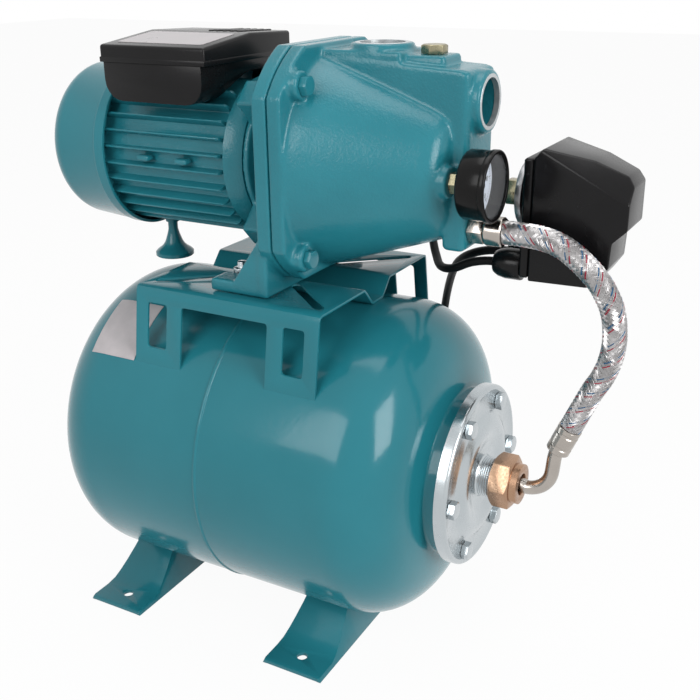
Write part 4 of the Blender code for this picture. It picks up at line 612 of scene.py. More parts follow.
leadValues = {"motorRadius": 0.0035, "mainsRadius": 0.0036, "nearY": 0.020, "farY": 0.052, "drop": 0.0722,
              "glandX": 0.1270, "coil": (-0.075, 0.232), "mean": 0.0395, "boxRise": 0.0655}


def motorLeadPath():
    v = leadValues
    y, z = v["nearY"], shaftZ - v["drop"]
    endZ = shaftZ + v["boxRise"]
    return [at(*p) for p in [
        (v["glandX"] + 0.009, y, z), (0.120, y, z - 0.0005), (0.106, y + 0.001, z - 0.004),
        (0.090, y + 0.005, z - 0.012), (0.074, y + 0.017, z - 0.016), (0.060, y + 0.037, z - 0.012),
        (0.045, y + 0.058, z + 0.002), (0.026, y + 0.073, z + 0.024), (0.004, y + 0.080, z + 0.052),
        (-0.020, y + 0.083, z + 0.080), (-0.044, y + 0.084, z + 0.104), (-0.068, y + 0.082, z + 0.123),
        (-0.088, y + 0.073, z + 0.134), (-0.101, y + 0.057, endZ), (-0.105, y + 0.040, endZ),
        (-0.105, 0.048, endZ),
    ]]


def mainsLeadPath():
    v = leadValues
    y, z = v["farY"], shaftZ - v["drop"]
    floor = v["mainsRadius"] + 0.0005
    return [at(*p) for p in [
        (v["glandX"] + 0.009, y, z), (0.118, y + 0.0005, z - 0.0005), (0.102, y + 0.003, z - 0.004),
        (0.086, y + 0.012, z - 0.012), (0.071, y + 0.028, z - 0.024), (0.057, y + 0.049, z - 0.042),
        (0.044, y + 0.070, z - 0.066), (0.033, y + 0.088, z - 0.096), (0.024, y + 0.102, z - 0.132),
        (0.018, y + 0.113, z - 0.172), (0.016, y + 0.122, z - 0.212), (0.018, y + 0.132, z - 0.252),
        (0.020, y + 0.144, z - 0.289), (0.016, y + 0.159, z - 0.318), (0.005, y + 0.178, floor + 0.004),
        (-0.008, y + 0.194, floor), (-0.0235, y + 0.2055, floor), (-0.0385, y + 0.214, floor),
    ]]


def smoothShare(value):
    value = min(1.0, max(0.0, value))
    return value * value * (3 - 2 * value)


def coilKnots():  # three turns inwards below, three outwards on top, then off to the plug
    v = leadValues
    pitch = 2 * v["mainsRadius"] + 0.0001
    low = v["mainsRadius"] + 0.0005
    outer, mean, inner = v["mean"] + pitch, v["mean"], v["mean"] - pitch
    knots = []
    for angle in range(60, 1981, 12):
        height = low
        if angle < 1020:
            shares = smoothShare((angle - 300) / 120), smoothShare((angle - 660) / 120)
            radius = outer - pitch * shares[0] - pitch * shares[1]
        elif angle < 1140:
            share = smoothShare((angle - 1020) / 120)
            radius = mean - pitch * share - pitch * math.cos(math.pi / 2 * share)
            height = low + pitch * math.sin(math.pi / 2 * share)
        else:
            shares = smoothShare((angle - 1260) / 120), smoothShare((angle - 1620) / 120)
            radius = inner + pitch * shares[0] + pitch * shares[1]
            height = low + pitch
        turned = math.radians(angle)
        knots.append(at(v["coil"][0] + radius * math.cos(turned), v["coil"][1] + radius * math.sin(turned),
                        height))
    for place in ((-0.1216, 0.2220, low + pitch + 0.0006), (-0.1196, 0.2120, low + pitch + 0.0032),
                  (-0.1165, 0.2045, 0.0172), (-0.1145, 0.1982, 0.0185)):
        knots.append(at(*place))
    return knots


plugValues = {"place": (-0.1145, 0.1579, 0.0185), "radius": 0.0185, "length": 0.040, "tail": 0.0060,
              "pinApart": 0.0095, "pinLength": 0.019, "pinRadius": 0.0024}


def makePlug():
    v = plugValues
    x, y, z = v["place"]
    radius, length, tail = v["radius"], v["length"], v["tail"]
    tip, thick = y - v["pinLength"], v["pinRadius"]
    profile = [(0.0, 0.0), (0.0, radius - 0.0016), (0.0005, radius - 0.0005), (0.0016, radius)]
    profile += [(length * 0.43, radius), (length * 0.49, radius - 0.0006), (length * 0.58, 0.0148),
                (length * 0.65, 0.0115)]
    profile += [(length * 0.74, 0.0094), (length * 0.86, 0.0078), (length, tail), (length, 0.0)]
    plug = spunPiece("plugBody", [(y + a, r) for a, r in profile], at(x, 0, z), "Y", 64)
    pins = []
    for side in (-1, 1):
        pin = [(tip, 0.0), (tip, thick / 2), (tip + 0.0006, thick - 0.0004), (tip + 0.0015, thick)]
        pin += [(y + 0.002, thick), (y + 0.002, 0.0)]
        pins.append(spunPiece("plugPin", pin, at(x + side * v["pinApart"], 0, z), "Y", 24))
    dress(plug, cableRubber, nodes=["mains_plug"])
    pins = joinPieces(pins[0], pins[1:])
    dress(pins, nickelPlate)
    return [plug, pins]


def makeLeads():
    v = leadValues
    line = smoothRoute(motorLeadPath(), 0.0035)
    lead = cordCurve("motorLead", line, v["motorRadius"], 4)
    dress(lead, cableRubber, nodes=["motor_lead"])
    line = smoothRoute(mainsLeadPath() + coilKnots(), 0.0030)
    lead = cordCurve("mainsLead", line, v["mainsRadius"], 4)
    dress(lead, cableRubber, nodes=["mains_lead", "mains_coil"])
    makePlug()
    print("mains lead", round(lineLength(line), 3), "m")


makeLeads()
print("cords laid")


# Floor, backdrop and light

studio = {"ambient": 0.36, "aim": (0.0, 0.0, 0.25), "lamps": [
    ("keySoftbox", (-0.45, -2.1, 1.45), (1.3, 1.3), 24),
    ("sideSoftbox", (2.1, -0.7, 1.2), (1.0, 1.4), 36),
    ("topSoftbox", (0.0, 0.3, 2.3), (1.6, 1.2), 15),
]}


def makeStage():
    clearSelection()
    bpy.ops.mesh.primitive_plane_add(size=14, location=(0, 0, 0))
    floor = bpy.context.active_object
    floor.name = "floor"
    paper = bpy.data.materials.new("paleFloor")
    paper.use_nodes = True
    nodes, links = paper.node_tree.nodes, paper.node_tree.links
    nodes["Principled BSDF"].inputs["Base Color"].default_value = (0.80, 0.80, 0.80, 1)
    nodes["Principled BSDF"].inputs["Roughness"].default_value = 0.9
    nodes["Principled BSDF"].inputs["Specular IOR Level"].default_value = 0.1
    white = nodes.new("ShaderNodeEmission")
    share = nodes.new("ShaderNodeMath")
    share.operation = "MULTIPLY"
    share.inputs[1].default_value = 0.95
    links.new(seenRays(paper.node_tree), share.inputs[0])
    blend = nodes.new("ShaderNodeMixShader")
    links.new(share.outputs[0], blend.inputs[0])
    links.new(nodes["Principled BSDF"].outputs[0], blend.inputs[1])
    links.new(white.outputs[0], blend.inputs[2])
    links.new(blend.outputs[0], nodes["Material Output"].inputs["Surface"])
    floor.data.materials.append(paper)
    world = bpy.data.worlds.new("studio")
    bpy.context.scene.world = world
    world.use_nodes = True
    nodes, links = world.node_tree.nodes, world.node_tree.links
    level = nodes.new("ShaderNodeMapRange")
    level.inputs["To Min"].default_value = studio["ambient"]
    level.inputs["To Max"].default_value = 1.0
    links.new(seenRays(world.node_tree), level.inputs["Value"])
    links.new(level.outputs["Result"], nodes["Background"].inputs["Strength"])
    nodes["Background"].inputs["Color"].default_value = (1, 1, 1, 1)
    for name, place, size, power in studio["lamps"]:
        light = bpy.data.lights.new(name, "AREA")
        light.shape = "RECTANGLE"
        light.size, light.size_y = size
        light.energy = power
        lamp = bpy.data.objects.new(name, light)
        bpy.context.scene.collection.objects.link(lamp)
        lamp.location = place
        lamp.rotation_euler = (Vector(studio["aim"]) - Vector(place)).to_track_quat("-Z", "Y").to_euler()


def seenRays(tree):  # 1 for rays that show the background itself
    path = tree.nodes.new("ShaderNodeLightPath")
    total = path.outputs["Is Camera Ray"]
    for title in ("Is Glossy Ray", "Is Transmission Ray"):
        larger = tree.nodes.new("ShaderNodeMath")
        larger.operation = "MAXIMUM"
        tree.links.new(total, larger.inputs[0])
        tree.links.new(path.outputs[title], larger.inputs[1])
        total = larger.outputs[0]
    return total


makeStage()
bpy.context.scene.view_settings.view_transform = "Standard"
print("floor and light set")


# Tank, its flange and bolts

tankValues = {"radius": 0.1355, "half": 0.177, "wall": 0.0016, "seam": -0.0605, "seamHalf": 0.0017,
              "seamHeight": 0.0009, "knuckle": 0.0545, "crown": 0.36, "neck": 0.046, "collar": 0.0695,
              "face": 0.12343, "valveHole": 0.0055, "knuckleSteps": 12, "crownSteps": 9, "sides": 144}


def crownLine(grow, endRadius):  # one end of the tank in profile: tight knuckle, then shallow crown
    v = tankValues
    ring = v["radius"] - v["knuckle"]
    arm = v["crown"] - v["knuckle"]
    tangent = v["half"] - v["crown"] + math.sqrt(arm ** 2 - ring ** 2)
    sweep = math.acos(ring / arm)
    radius = v["knuckle"] + grow
    points = []
    for step in range(v["knuckleSteps"] + 1):
        angle = sweep * step / v["knuckleSteps"]
        points.append((tangent + radius * math.sin(angle), ring + radius * math.cos(angle)))
    radius = v["crown"] + grow
    start, end = math.asin(points[-1][1] / radius), math.asin(endRadius / radius)
    for step in range(1, v["crownSteps"] + 1):
        angle = start + (end - start) * step / v["crownSteps"]
        points.append((v["half"] - v["crown"] + radius * math.cos(angle), radius * math.sin(angle)))
    return points


def makeTank():
    v = tankValues
    seam, wall = v["seam"], v["wall"]
    outer = [(seam - a, r) for a, r in crownLine(0, v["valveHole"])][::-1]
    bead = [(-1.0, 0.0), (-0.85, 0.35), (-0.5, 0.85), (0.0, 1.0), (0.5, 0.85), (0.85, 0.35), (1.0, 0.0)]
    outer += [(seam + a * v["seamHalf"], v["radius"] + r * v["seamHeight"]) for a, r in bead]
    right = [(seam + a, r) for a, r in crownLine(0, v["collar"] + 0.0012)]
    outer += right + [(right[-1][0] + 0.0008, v["collar"] + 0.0003), (right[-1][0] + 0.0022, v["collar"])]
    outer += [(v["face"] - 0.0006, v["collar"]), (v["face"], v["collar"] - 0.0006), (v["face"], v["neck"])]
    inner = [(seam + a, r) for a, r in crownLine(-wall, v["neck"])][::-1]
    inner += [(seam - a, r) for a, r in crownLine(-wall, v["valveHole"])]
    loop = outer + inner
    tank = spunPiece("tankShell", loop + [loop[0]], at(0, 0, tankZ), "X", v["sides"])
    return dress(tank, tealPaint, nodes=["tank_shell"], smooth=40)


labelValues = {"shoulder": -0.1721, "rear": -0.1870, "front": -0.1400, "angles": (26, 49.5),
               "thick": 0.0004}


def makeTankLabel():  # a bare plate on the near side, bent over the left shoulder
    v = tankValues
    shoulder, rear, front = (labelValues[key] for key in ("shoulder", "rear", "front"))

    def surface(x, grow):
        dip = max(0.0, shoulder - x)
        return v["radius"] - v["knuckle"] + math.sqrt((v["knuckle"] + grow) ** 2 - dip ** 2)

    steps = [rear + (front - rear) * step / 16 for step in range(17)]
    loop = [(x, surface(x, 0.0001)) for x in steps]
    loop += [(x, surface(x, labelValues["thick"])) for x in reversed(steps)]
    patch = spunPiece("tankLabel", loop + [loop[0]], at(0, 0, tankZ), "X", 288)
    outline = [at(-0.22, 0, tankZ)]
    for angle in labelValues["angles"]:
        turned = math.radians(angle)
        outline.append(at(-0.22, -0.25 * math.sin(turned), tankZ + 0.25 * math.cos(turned)))
    wedge = pushedPiece("labelWedge", outline, Vector((0.12, 0, 0)))
    cutPiece(patch, [wedge], "INTERSECT")
    return dress(patch, bareLabel)


flangeValues = {"back": 0.12703, "face": 0.13003, "crest": 0.0052, "radius": 0.0755, "sheet": 0.003,
                "skirt": 0.12103, "stub": 0.0166, "end": 0.14503, "bore": 0.0125, "thread": 0.0018}


def makeFlange():
    v = flangeValues
    back, face, crest, skirt, end = (v[key] for key in ("back", "face", "crest", "skirt", "end"))
    outerRadius, sheet, stub, bore = (v[key] for key in ("radius", "sheet", "stub", "bore"))
    outer = [(skirt, outerRadius), (face - 0.0024, outerRadius)]
    outer += [(face - 0.0022 + 0.0030 * math.sin(t), outerRadius - 0.0030 + 0.0030 * math.cos(t))
              for t in (0.3, 0.7, 1.1, 1.57)]
    outer += [(face + 0.0005, outerRadius - 0.0044), (face, outerRadius - 0.0058), (face, 0.0548),
              (face + crest * 0.06, 0.0537), (face + crest * 0.40, 0.0502)]
    outer += [(face + crest * 0.72, 0.0470), (face + crest * 0.93, 0.0440), (face + crest, 0.0405),
              (face + crest * 0.97, 0.0375)]
    outer += [(face + crest * 0.80, 0.0335), (face + crest * 0.55, 0.0292), (face + crest * 0.40, 0.0268)]
    outer += [(face + crest * 0.35, 0.0245), (face + crest * 0.35, stub + 0.0012),
              (face + crest * 0.60, stub)]
    threads = []
    turn = face + crest * 0.60 + 0.0008
    while turn < end - 0.0016:
        threads += [(turn, stub), (turn + 0.0006, stub - 0.0006), (turn + 0.0012, stub)]
        turn += v["thread"]
    outer += threads + [(end - 0.0006, stub - 0.0004), (end, stub - 0.0010), (end, bore)]
    inner = [(back + crest * 0.35, bore), (back + crest * 0.35, 0.0270), (back + crest, 0.0395),
             (back + crest * 0.75, 0.0460)]
    inner += [(back, 0.0530), (back, outerRadius - sheet), (skirt, outerRadius - sheet)]
    loop = outer + inner
    flange = spunPiece("tankFlange", loop + [loop[0]], at(0, 0, tankZ), "X", 144)
    return dress(flange, zincPlate, nodes=["tank_flange"], smooth=40)


boltValues = {"flangeCircle": 0.063, "flangeTop": 0.13583, "corner": 0.0640, "casingTop": 0.0138,
              "head": 0.0055, "flats": 0.013}


def chamferedBolt(node, centre, axis, top, head, flats, material):
    # the bolt's own node, its head trimmed by a cone as hex heads are
    bolt = copyNode(node, node + "Fine")
    corner = flats / math.sqrt(3)
    face = flats / 2 * 0.97
    drop = (corner * 1.03 - face) * math.tan(math.radians(30))
    low = top - head - 0.06
    profile = [(top, 0.0), (top, face), (top - drop, corner * 1.03), (low, corner * 1.03), (low, 0.0)]
    cone = spunPiece("headCone", profile, centre, axis, 48)
    cutPiece(bolt, [cone], "INTERSECT")
    bevelEdges(bolt, 0.00025, 2, 25)
    return dress(bolt, material, nodes=[node])


def makeBolts():
    v = boltValues
    head, flats, circle, corner = v["head"], v["flats"], v["flangeCircle"], v["corner"]
    for index in range(6):
        angle = 2 * math.pi * index / 6
        centre = at(0, circle * math.cos(angle), tankZ + circle * math.sin(angle))
        chamferedBolt("flange_bolt_%d" % (index + 1), centre, "X", v["flangeTop"], head, flats, zincPlate)
    for index, (side, up) in enumerate(((-1, 1), (1, 1), (1, -1), (-1, -1))):
        centre = at(0, corner * side, shaftZ + corner * up)
        chamferedBolt("casing_bolt_%d" % (index + 1), centre, "X", v["casingTop"], head, flats, tealPaint)
    for name in ("foot_bolt_1", "foot_bolt_2"):
        bolt = copyNode(name, name + "Fine")
        bevelEdges(bolt, 0.0004, 2, 25)
        dress(bolt, zincPlate, nodes=[name])


makeTank()
makeTankLabel()
makeFlange()
makeBolts()
print("tank, flange and bolts made")


# Sheet-metal feet and platform: the nodes' own shapes with rounded edges

for node, width in (("tank_foot_left", 0.0009), ("tank_foot_right", 0.0009), ("pump_platform", 0.0006)):
    sheetPiece = copyNode(node, node + "Fine")
    bevelEdges(sheetPiece, width, 2, 24)
    dress(sheetPiece, tealPaint, nodes=[node], smooth=30)
print("feet and platform made")


# Castings

def jointOutline(x):  # the round-cornered square where casing and bracket meet
    half, top, corner = 0.084, 0.0895, 0.101
    side, over = math.degrees(math.acos(half / corner)), math.degrees(math.asin(top / corner))
    under = math.degrees(math.asin(half / corner))
    points = []
    for start, end in ((side, over), (180 - over, 180 - side), (180 + side, 180 + under),
                       (360 - under, 360 - side)):
        points += arcPoints((0, shaftZ), corner, start, end, 10)
    return [at(x, y, z) for y, z in points]


casingValues = {"grain": 0.0013, "relax": 9, "half": 0.0255,
                "rearTop": 0.0823, "frontTop": 0.0748, "blockRear": 0.100, "blockFront": 0.1185,
                "blockLow": -0.0557, "port": 0.0174, "dischargeX": 0.0387, "dischargeRadius": 0.0238,
                "dischargeTop": 0.0900, "plugX": 0.0807, "plugTop": 0.0828, "suctionZ": 0.0512,
                "suctionRadius": 0.0228, "suctionFace": 0.1254, "gauge": (-0.035, -0.0014, 0.1120),
                "switch": (0.036, -0.0197, 0.1235), "hose": (-0.012, -0.0395), "boss": 0.0120,
                "thread": 0.0068, "bores": (0.085, 0.126), "corner": 0.064, "cornerBoss": 0.0105}


def rodPiece(name, centre, axis, radius, low, high, sides=64):  # a plain round bar between two heights
    return spunPiece(name, [(low, 0.0), (low, radius), (high, radius), (high, 0.0)], centre, axis, sides)


def makeCasing():
    v = casingValues
    axis = at(0, 0, shaftZ)
    casing = pushedPiece("pumpCasing", jointOutline(-0.012), Vector((0.012, 0, 0)))
    parts = [spunPiece("casingCone", [
        (-0.004, 0.0), (-0.004, 0.083), (0.002, 0.083), (0.010, 0.0805), (0.094, 0.0525), (0.100, 0.0497),
        (0.104, 0.0460), (0.107, 0.0400), (0.107, 0.0)], axis, "X", 128)]
    top, front = shaftZ + v["rearTop"], shaftZ + v["frontTop"]
    duct = [at(-0.003, -v["half"], shaftZ + 0.020), at(v["blockFront"] - 0.004, -v["half"], shaftZ + 0.020)]
    duct += [at(v["blockFront"] - 0.004, -v["half"], front), at(-0.003, -v["half"], top)]
    parts.append(pushedPiece("casingDuct", duct, Vector((0, 2 * v["half"], 0))))
    bevelEdges(parts[-1], 0.0025, 3)
    parts.append(block("casingBlock", at(v["blockRear"], -v["half"], shaftZ + v["blockLow"]),
                       at(v["blockFront"], v["half"], front - 0.0003), 0.004, 4))
    parts.append(block("dischargePad", at(-0.005, -v["half"] + 0.001, shaftZ + 0.060),
                       at(v["dischargeX"] + 0.0266, v["half"] - 0.001, shaftZ + 0.0855), 0.002, 2))
    parts.append(block("plugPad", at(v["dischargeX"] + 0.010, -0.0165, shaftZ + 0.060),
                       at(v["plugX"] + 0.015, 0.0165, shaftZ + v["plugTop"]), 0.002, 2))
    parts.append(rodPiece("dischargeBoss", at(v["dischargeX"], 0, 0), "Z", v["dischargeRadius"],
                          shaftZ + 0.055, shaftZ + v["dischargeTop"]))
    parts.append(rodPiece("suctionBoss", at(0, 0, shaftZ + v["suctionZ"]), "X", v["suctionRadius"],
                          v["blockRear"] + 0.002, v["suctionFace"]))
    for name in ("gauge", "switch"):
        y, z, face = v[name]
        parts.append(rodPiece(name + "Boss", at(0, y, shaftZ + z), "X", v["boss"], 0.088, face, 48))
    for side, up in ((-1, 1), (1, 1), (1, -1), (-1, -1)):
        centre = at(0, v["corner"] * side, shaftZ + v["corner"] * up)
        parts.append(rodPiece("cornerBoss", centre, "X", v["cornerBoss"], -0.006, 0.008, 40))
    joinPieces(casing, parts)
    castSkin(casing, v["grain"], v["relax"])
    cavity = spunPiece("cavity", [(-0.013, 0.0), (-0.013, 0.0745), (0.004, 0.0745), (0.088, 0.0440),
                                  (0.088, 0.0)], axis, "X", 96)
    tools = [cavity]
    tools.append(rodPiece("suctionBore", at(0, 0, shaftZ + v["suctionZ"]), "X", v["port"], 0.076,
                          v["suctionFace"] + 0.002))
    tools.append(rodPiece("dischargeBore", at(v["dischargeX"], 0, 0), "Z", v["port"], shaftZ + 0.050,
                          shaftZ + v["dischargeTop"] + 0.002))
    tools.append(rodPiece("plugBore", at(v["plugX"], 0, 0), "Z", v["thread"], shaftZ + 0.045,
                          shaftZ + v["plugTop"] + 0.002, 32))
    for name in ("gauge", "switch", "hose"):
        y, z = v[name][0], v[name][1]
        tools.append(rodPiece(name + "Bore", at(0, y, shaftZ + z), "X", v["thread"], *v["bores"], 32))
    cutPiece(casing, tools, solver="MANIFOLD")
    print("casing", len(casing.data.polygons), "faces")
    dress(casing, tealCast, nodes=["pump_casing"], smooth=50)
    rings = []
    face = v["suctionFace"]
    rings.append(spunPiece("suctionRing", [
        (face - 0.004, 0.0171), (face + 0.0001, 0.0171), (face + 0.0001, 0.0196), (face - 0.0004, 0.0202),
        (face - 0.004, 0.0202), (face - 0.004, 0.0171)], at(0, 0, shaftZ + v["suctionZ"]), "X", 96))
    level = shaftZ + v["dischargeTop"]
    rings.append(spunPiece("dischargeRing", [
        (level - 0.004, 0.0171), (level + 0.0001, 0.0171), (level + 0.0001, 0.0203),
        (level - 0.0004, 0.0209), (level - 0.004, 0.0209), (level - 0.004, 0.0171),
    ], at(v["dischargeX"], 0, 0), "Z", 96))
    dress(joinPieces(rings[0], rings[1:]), machinedRim)
    return casing


bracketValues = {"grain": 0.0012, "relax": 7, "flange": -0.0243, "thick": 0.0120, "leg": (-0.0295, -0.0205),
                 "legRise": 0.046, "base": (-0.0745, -0.0215), "half": 0.0786, "armHalf": 0.011,
                 "notchY": 0.0495, "notchHalf": 0.0095}


def makeBracket():
    v = bracketValues
    axis = at(0, 0, shaftZ)
    low = platformZ + hair
    bracket = pushedPiece("motorBracket", jointOutline(v["flange"]), Vector((v["thick"], 0, 0)))
    parts = [spunPiece("bracketHub", [
        (-0.0539, 0.0), (-0.0539, 0.0555), (-0.0494, 0.0555), (-0.0474, 0.046), (-0.0203, 0.046),
        (-0.0203, 0.0)], axis, "X", 96)]
    legRear, legFront = v["leg"]
    rear, front = v["base"]
    parts.append(block("bracketLeg", at(legRear, -0.079, low),
                       at(legFront, 0.079, low + v["legRise"]), 0.0015, 2))
    parts.append(block("bracketBase", at(rear, -v["half"], low),
                       at(front, v["half"], low + 0.010), 0.0015, 2))
    for angle in (45, 135, 225, 315):
        arm = block("bracketArm", at(-0.0524, 0.0400, shaftZ - v["armHalf"]),
                    at(-0.0213, 0.0790, shaftZ + v["armHalf"]))
        turnPiece(arm, math.radians(angle), "X", axis)
        parts.append(arm)
    for side in (-1, 1):
        near, far = sorted((side * 0.0702, side * 0.0782))
        outline = [at(-0.0540, near, low + 0.008), at(-0.0275, near, low + 0.008),
                   at(-0.0275, near, low + 0.045), at(-0.0299, near, low + 0.043)]
        parts.append(pushedPiece("gusset", outline, Vector((0, far - near, 0))))
    web = [at(-0.0605, -0.004, low + 0.008), at(-0.0275, -0.004, low + 0.008),
           at(-0.0275, -0.004, shaftZ - 0.042), at(-0.0459, -0.004, shaftZ - 0.042)]
    parts.append(pushedPiece("bracketWeb", web, Vector((0, 0.008, 0))))
    joinPieces(bracket, parts)
    castSkin(bracket, v["grain"], v["relax"])
    bore = spunPiece("bracketBore", [
        (-0.0549, 0.0), (-0.0549, 0.0178), (-0.0426, 0.0178), (-0.0426, 0.0145), (-0.0233, 0.0145),
        (-0.0233, 0.0128), (-0.0113, 0.0128), (-0.0113, 0.0)], axis, "X", 64)
    tools = [bore]
    for side in (-1, 1):
        y, half = side * v["notchY"], v["notchHalf"]
        tools.append(block("footNotch", at(-0.0765, y - half, low + 0.006),
                           at(-0.0545, y + half, low + 0.011)))
    cutPiece(bracket, tools, solver="MANIFOLD")
    print("bracket", len(bracket.data.polygons), "faces")
    return dress(bracket, tealCast, nodes=["motor_bracket"], smooth=50)


makeCasing()
makeBracket()
print("castings made")


# Motor

frameValues = {"body": 0.0575, "tip": 0.0655, "bore": 0.0505, "step": 12, "root": 0.0030, "fin": 0.0019,
               "blind": 35, "rear": -0.1900, "front": -0.0542, "ringEnd": -0.0682, "ring": 0.0614,
               "spigot": 0.0555, "bossX": -0.172, "bossRadius": 0.0060, "padRear": -0.1485,
               "padLength": 0.0535, "lugs": (-0.1440, -0.1060)}


def makeMotorFrame():
    v = frameValues
    outline = []
    for index in range(round(360 / v["step"])):
        middle = -90 + index * v["step"]
        bare = abs((middle - 90 + 180) % 360 - 180) < v["blind"]
        root, foot = math.degrees(v["root"] / 2 / v["body"]), math.degrees(v["fin"] / 2 / v["tip"])
        ring = [(v["body"], -root * 1.5), (v["body"] + 0.0005, -root)]
        if not bare:
            ring += [(v["tip"] - 0.0009, -foot), (v["tip"] - 0.0003, -foot * 0.72),
                     (v["tip"], -foot * 0.25)]
            ring += [(v["tip"], foot * 0.25), (v["tip"] - 0.0003, foot * 0.72), (v["tip"] - 0.0009, foot)]
        ring += [(v["body"] + 0.0005, root), (v["body"], root * 1.5)]
        if bare:
            ring = [(v["body"], -root), (v["body"], root)]
        for radius, turned in ring:
            angle = math.radians(middle + turned)
            outline.append(at(v["rear"], radius * math.cos(angle), shaftZ + radius * math.sin(angle)))
    body = pushedPiece("motorFrame", outline, Vector((v["ringEnd"] + 0.001 - v["rear"], 0, 0)))
    tip, end = v["tip"] + 0.0006, v["ringEnd"]
    envelope = spunPiece("finEnvelope", [
        (v["rear"] - 0.001, 0.0), (v["rear"] - 0.001, 0.0600), (v["rear"], 0.0640),
        (v["rear"] + 0.0012, 0.0652), (v["rear"] + 0.003, tip), (end - 0.0075, tip), (end - 0.0052, 0.0652),
        (end - 0.0036, 0.0640), (end - 0.0028, 0.0620), (end - 0.0024, 0.0590),
        (end - 0.0024, v["body"] + 0.0004), (end + 0.002, v["body"] + 0.0004), (end + 0.002, 0.0),
    ], at(0, 0, shaftZ), "X", 144)
    cutPiece(body, [envelope], "INTERSECT")
    ring = spunPiece("frameRing", [
        (end - 0.001, 0.0), (end - 0.001, v["ring"] - 0.0008), (end - 0.0002, v["ring"]),
        (v["front"] - 0.004, v["ring"] - 0.0022), (v["front"], v["spigot"] + 0.0005), (v["front"], 0.0),
    ], at(0, 0, shaftZ), "X", 128)
    pad = arcPoints((0, shaftZ), v["tip"], 68, 112, 16)
    pad += arcPoints((0, shaftZ), v["body"] - 0.003, 112, 68, 16)
    pad = pushedPiece("framePad", [at(v["padRear"], y, z) for y, z in pad], Vector((v["padLength"], 0, 0)))
    boss = rodPiece("frameBoss", at(v["bossX"], 0, 0), "Z", v["bossRadius"], shaftZ - v["tip"] - 0.004,
                    shaftZ - v["body"] + 0.002, 40)
    cutPiece(body, [ring, pad, boss], "UNION")
    bore = rodPiece("frameBore", at(0, 0, shaftZ), "X", v["bore"],
                    v["rear"] - 0.002, v["front"] + 0.001, 96)
    cutPiece(body, [bore])
    dress(body, tealCast, nodes=["motor_frame"], smooth=32)
    lugs = []
    for x in v["lugs"]:
        low, high = at(x - 0.0060, -0.0670, shaftZ - 0.0022), at(x + 0.0060, -0.0585, shaftZ + 0.0022)
        lugs.append(block("finLug", low, high, 0.0018, 4))
    dress(joinPieces(lugs[0], lugs[1:]), tealCast)


coverValues = {"radius": 0.0694, "wall": 0.0014, "back": -0.2480, "end": -0.1819, "edge": 0.018,
               "taper": 0.0030, "lip": 0.0009, "lipLength": 0.0096, "slots": 12,
               "rows": ((0.013, 0.026), (0.031, 0.044)), "slotHalf": 0.0018}


def makeFanCover():
    v = coverValues
    backRadius = v["radius"] - v["taper"]
    middle = (v["back"] + v["edge"], backRadius - v["edge"])
    start = v["end"] - v["lipLength"]
    outer = [(v["back"], 0.0)] + arcPoints(middle, v["edge"], 180, 90, 12)
    outer += [(start - 0.0008, v["radius"]), (start + 0.0002, v["radius"] + 0.0003),
              (start + 0.0008, v["radius"] + v["lip"])]
    outer += [(v["end"] - 0.0005, v["radius"] + v["lip"]), (v["end"], v["radius"] + v["lip"] - 0.0005)]
    inner = [(v["end"], v["radius"] - v["wall"])]
    inner += arcPoints(middle, v["edge"] - v["wall"], 90, 180, 8) + [(v["back"] + v["wall"], 0.0)]
    cover = spunPiece("fanCover", outer + inner, at(0, 0, shaftZ), "X", 128)
    slots = []
    for row, (low, high) in enumerate(v["rows"]):
        half = v["slotHalf"] + 0.0014 * row
        for index in range(v["slots"]):
            angle = 2 * math.pi * (index + 0.5 * row) / v["slots"]
            slot = block("grille", at(v["back"] - 0.003, low, shaftZ - half),
                         at(v["back"] + 0.009, high, shaftZ + half), half * 0.95, 4)
            turnPiece(slot, angle, "X", at(0, 0, shaftZ))
            slots.append(slot)
    cutPiece(cover, [joinPieces(slots[0], slots[1:])])
    dress(cover, tealPaint, nodes=["fan_cover"], smooth=40)


supportValues = {"x": -0.172, "rise": 0.0132, "disc": 0.0170, "stem": 0.0043}


def makeSupport():
    v = supportValues
    top = shaftZ - frameValues["tip"] - 0.004 - hair
    low = tankZ + tankValues["radius"] + v["rise"]
    disc, stem = v["disc"], v["stem"]
    profile = [(low, 0.0), (low, disc - 0.0006), (low + 0.0006, disc), (low + 0.0034, disc),
               (low + 0.0041, disc - 0.0006)]
    profile += [(low + 0.0058, 0.0146), (low + 0.0075, 0.0120), (low + 0.0096, 0.0098),
                (low + 0.0122, 0.0081), (low + 0.0150, 0.0070)]
    profile += [(low + 0.0190, 0.0056), (low + 0.0240, stem), (top, stem), (top, 0.0)]
    foot = spunPiece("supportFoot", profile, at(v["x"], 0, 0), "Z", 72)
    dress(foot, tealPaint, nodes=["support_foot"])


makeMotorFrame()
makeFanCover()
makeSupport()
print("motor made")


# Terminal box

lidValues = {"rear": -0.1701, "front": -0.0700, "near": -0.0750, "far": 0.0450, "bottom": 0.0745,
             "nearTop": 0.0875, "kinkY": -0.012, "kinkTop": 0.0945, "farTop": 0.0925, "ribs": 5,
             "ribX": -0.1140, "ribStep": 0.0068,
             "label": ((-0.1610, -0.0640), (-0.0795, -0.0640), (-0.0795, -0.0200), (-0.1610, -0.0200))}


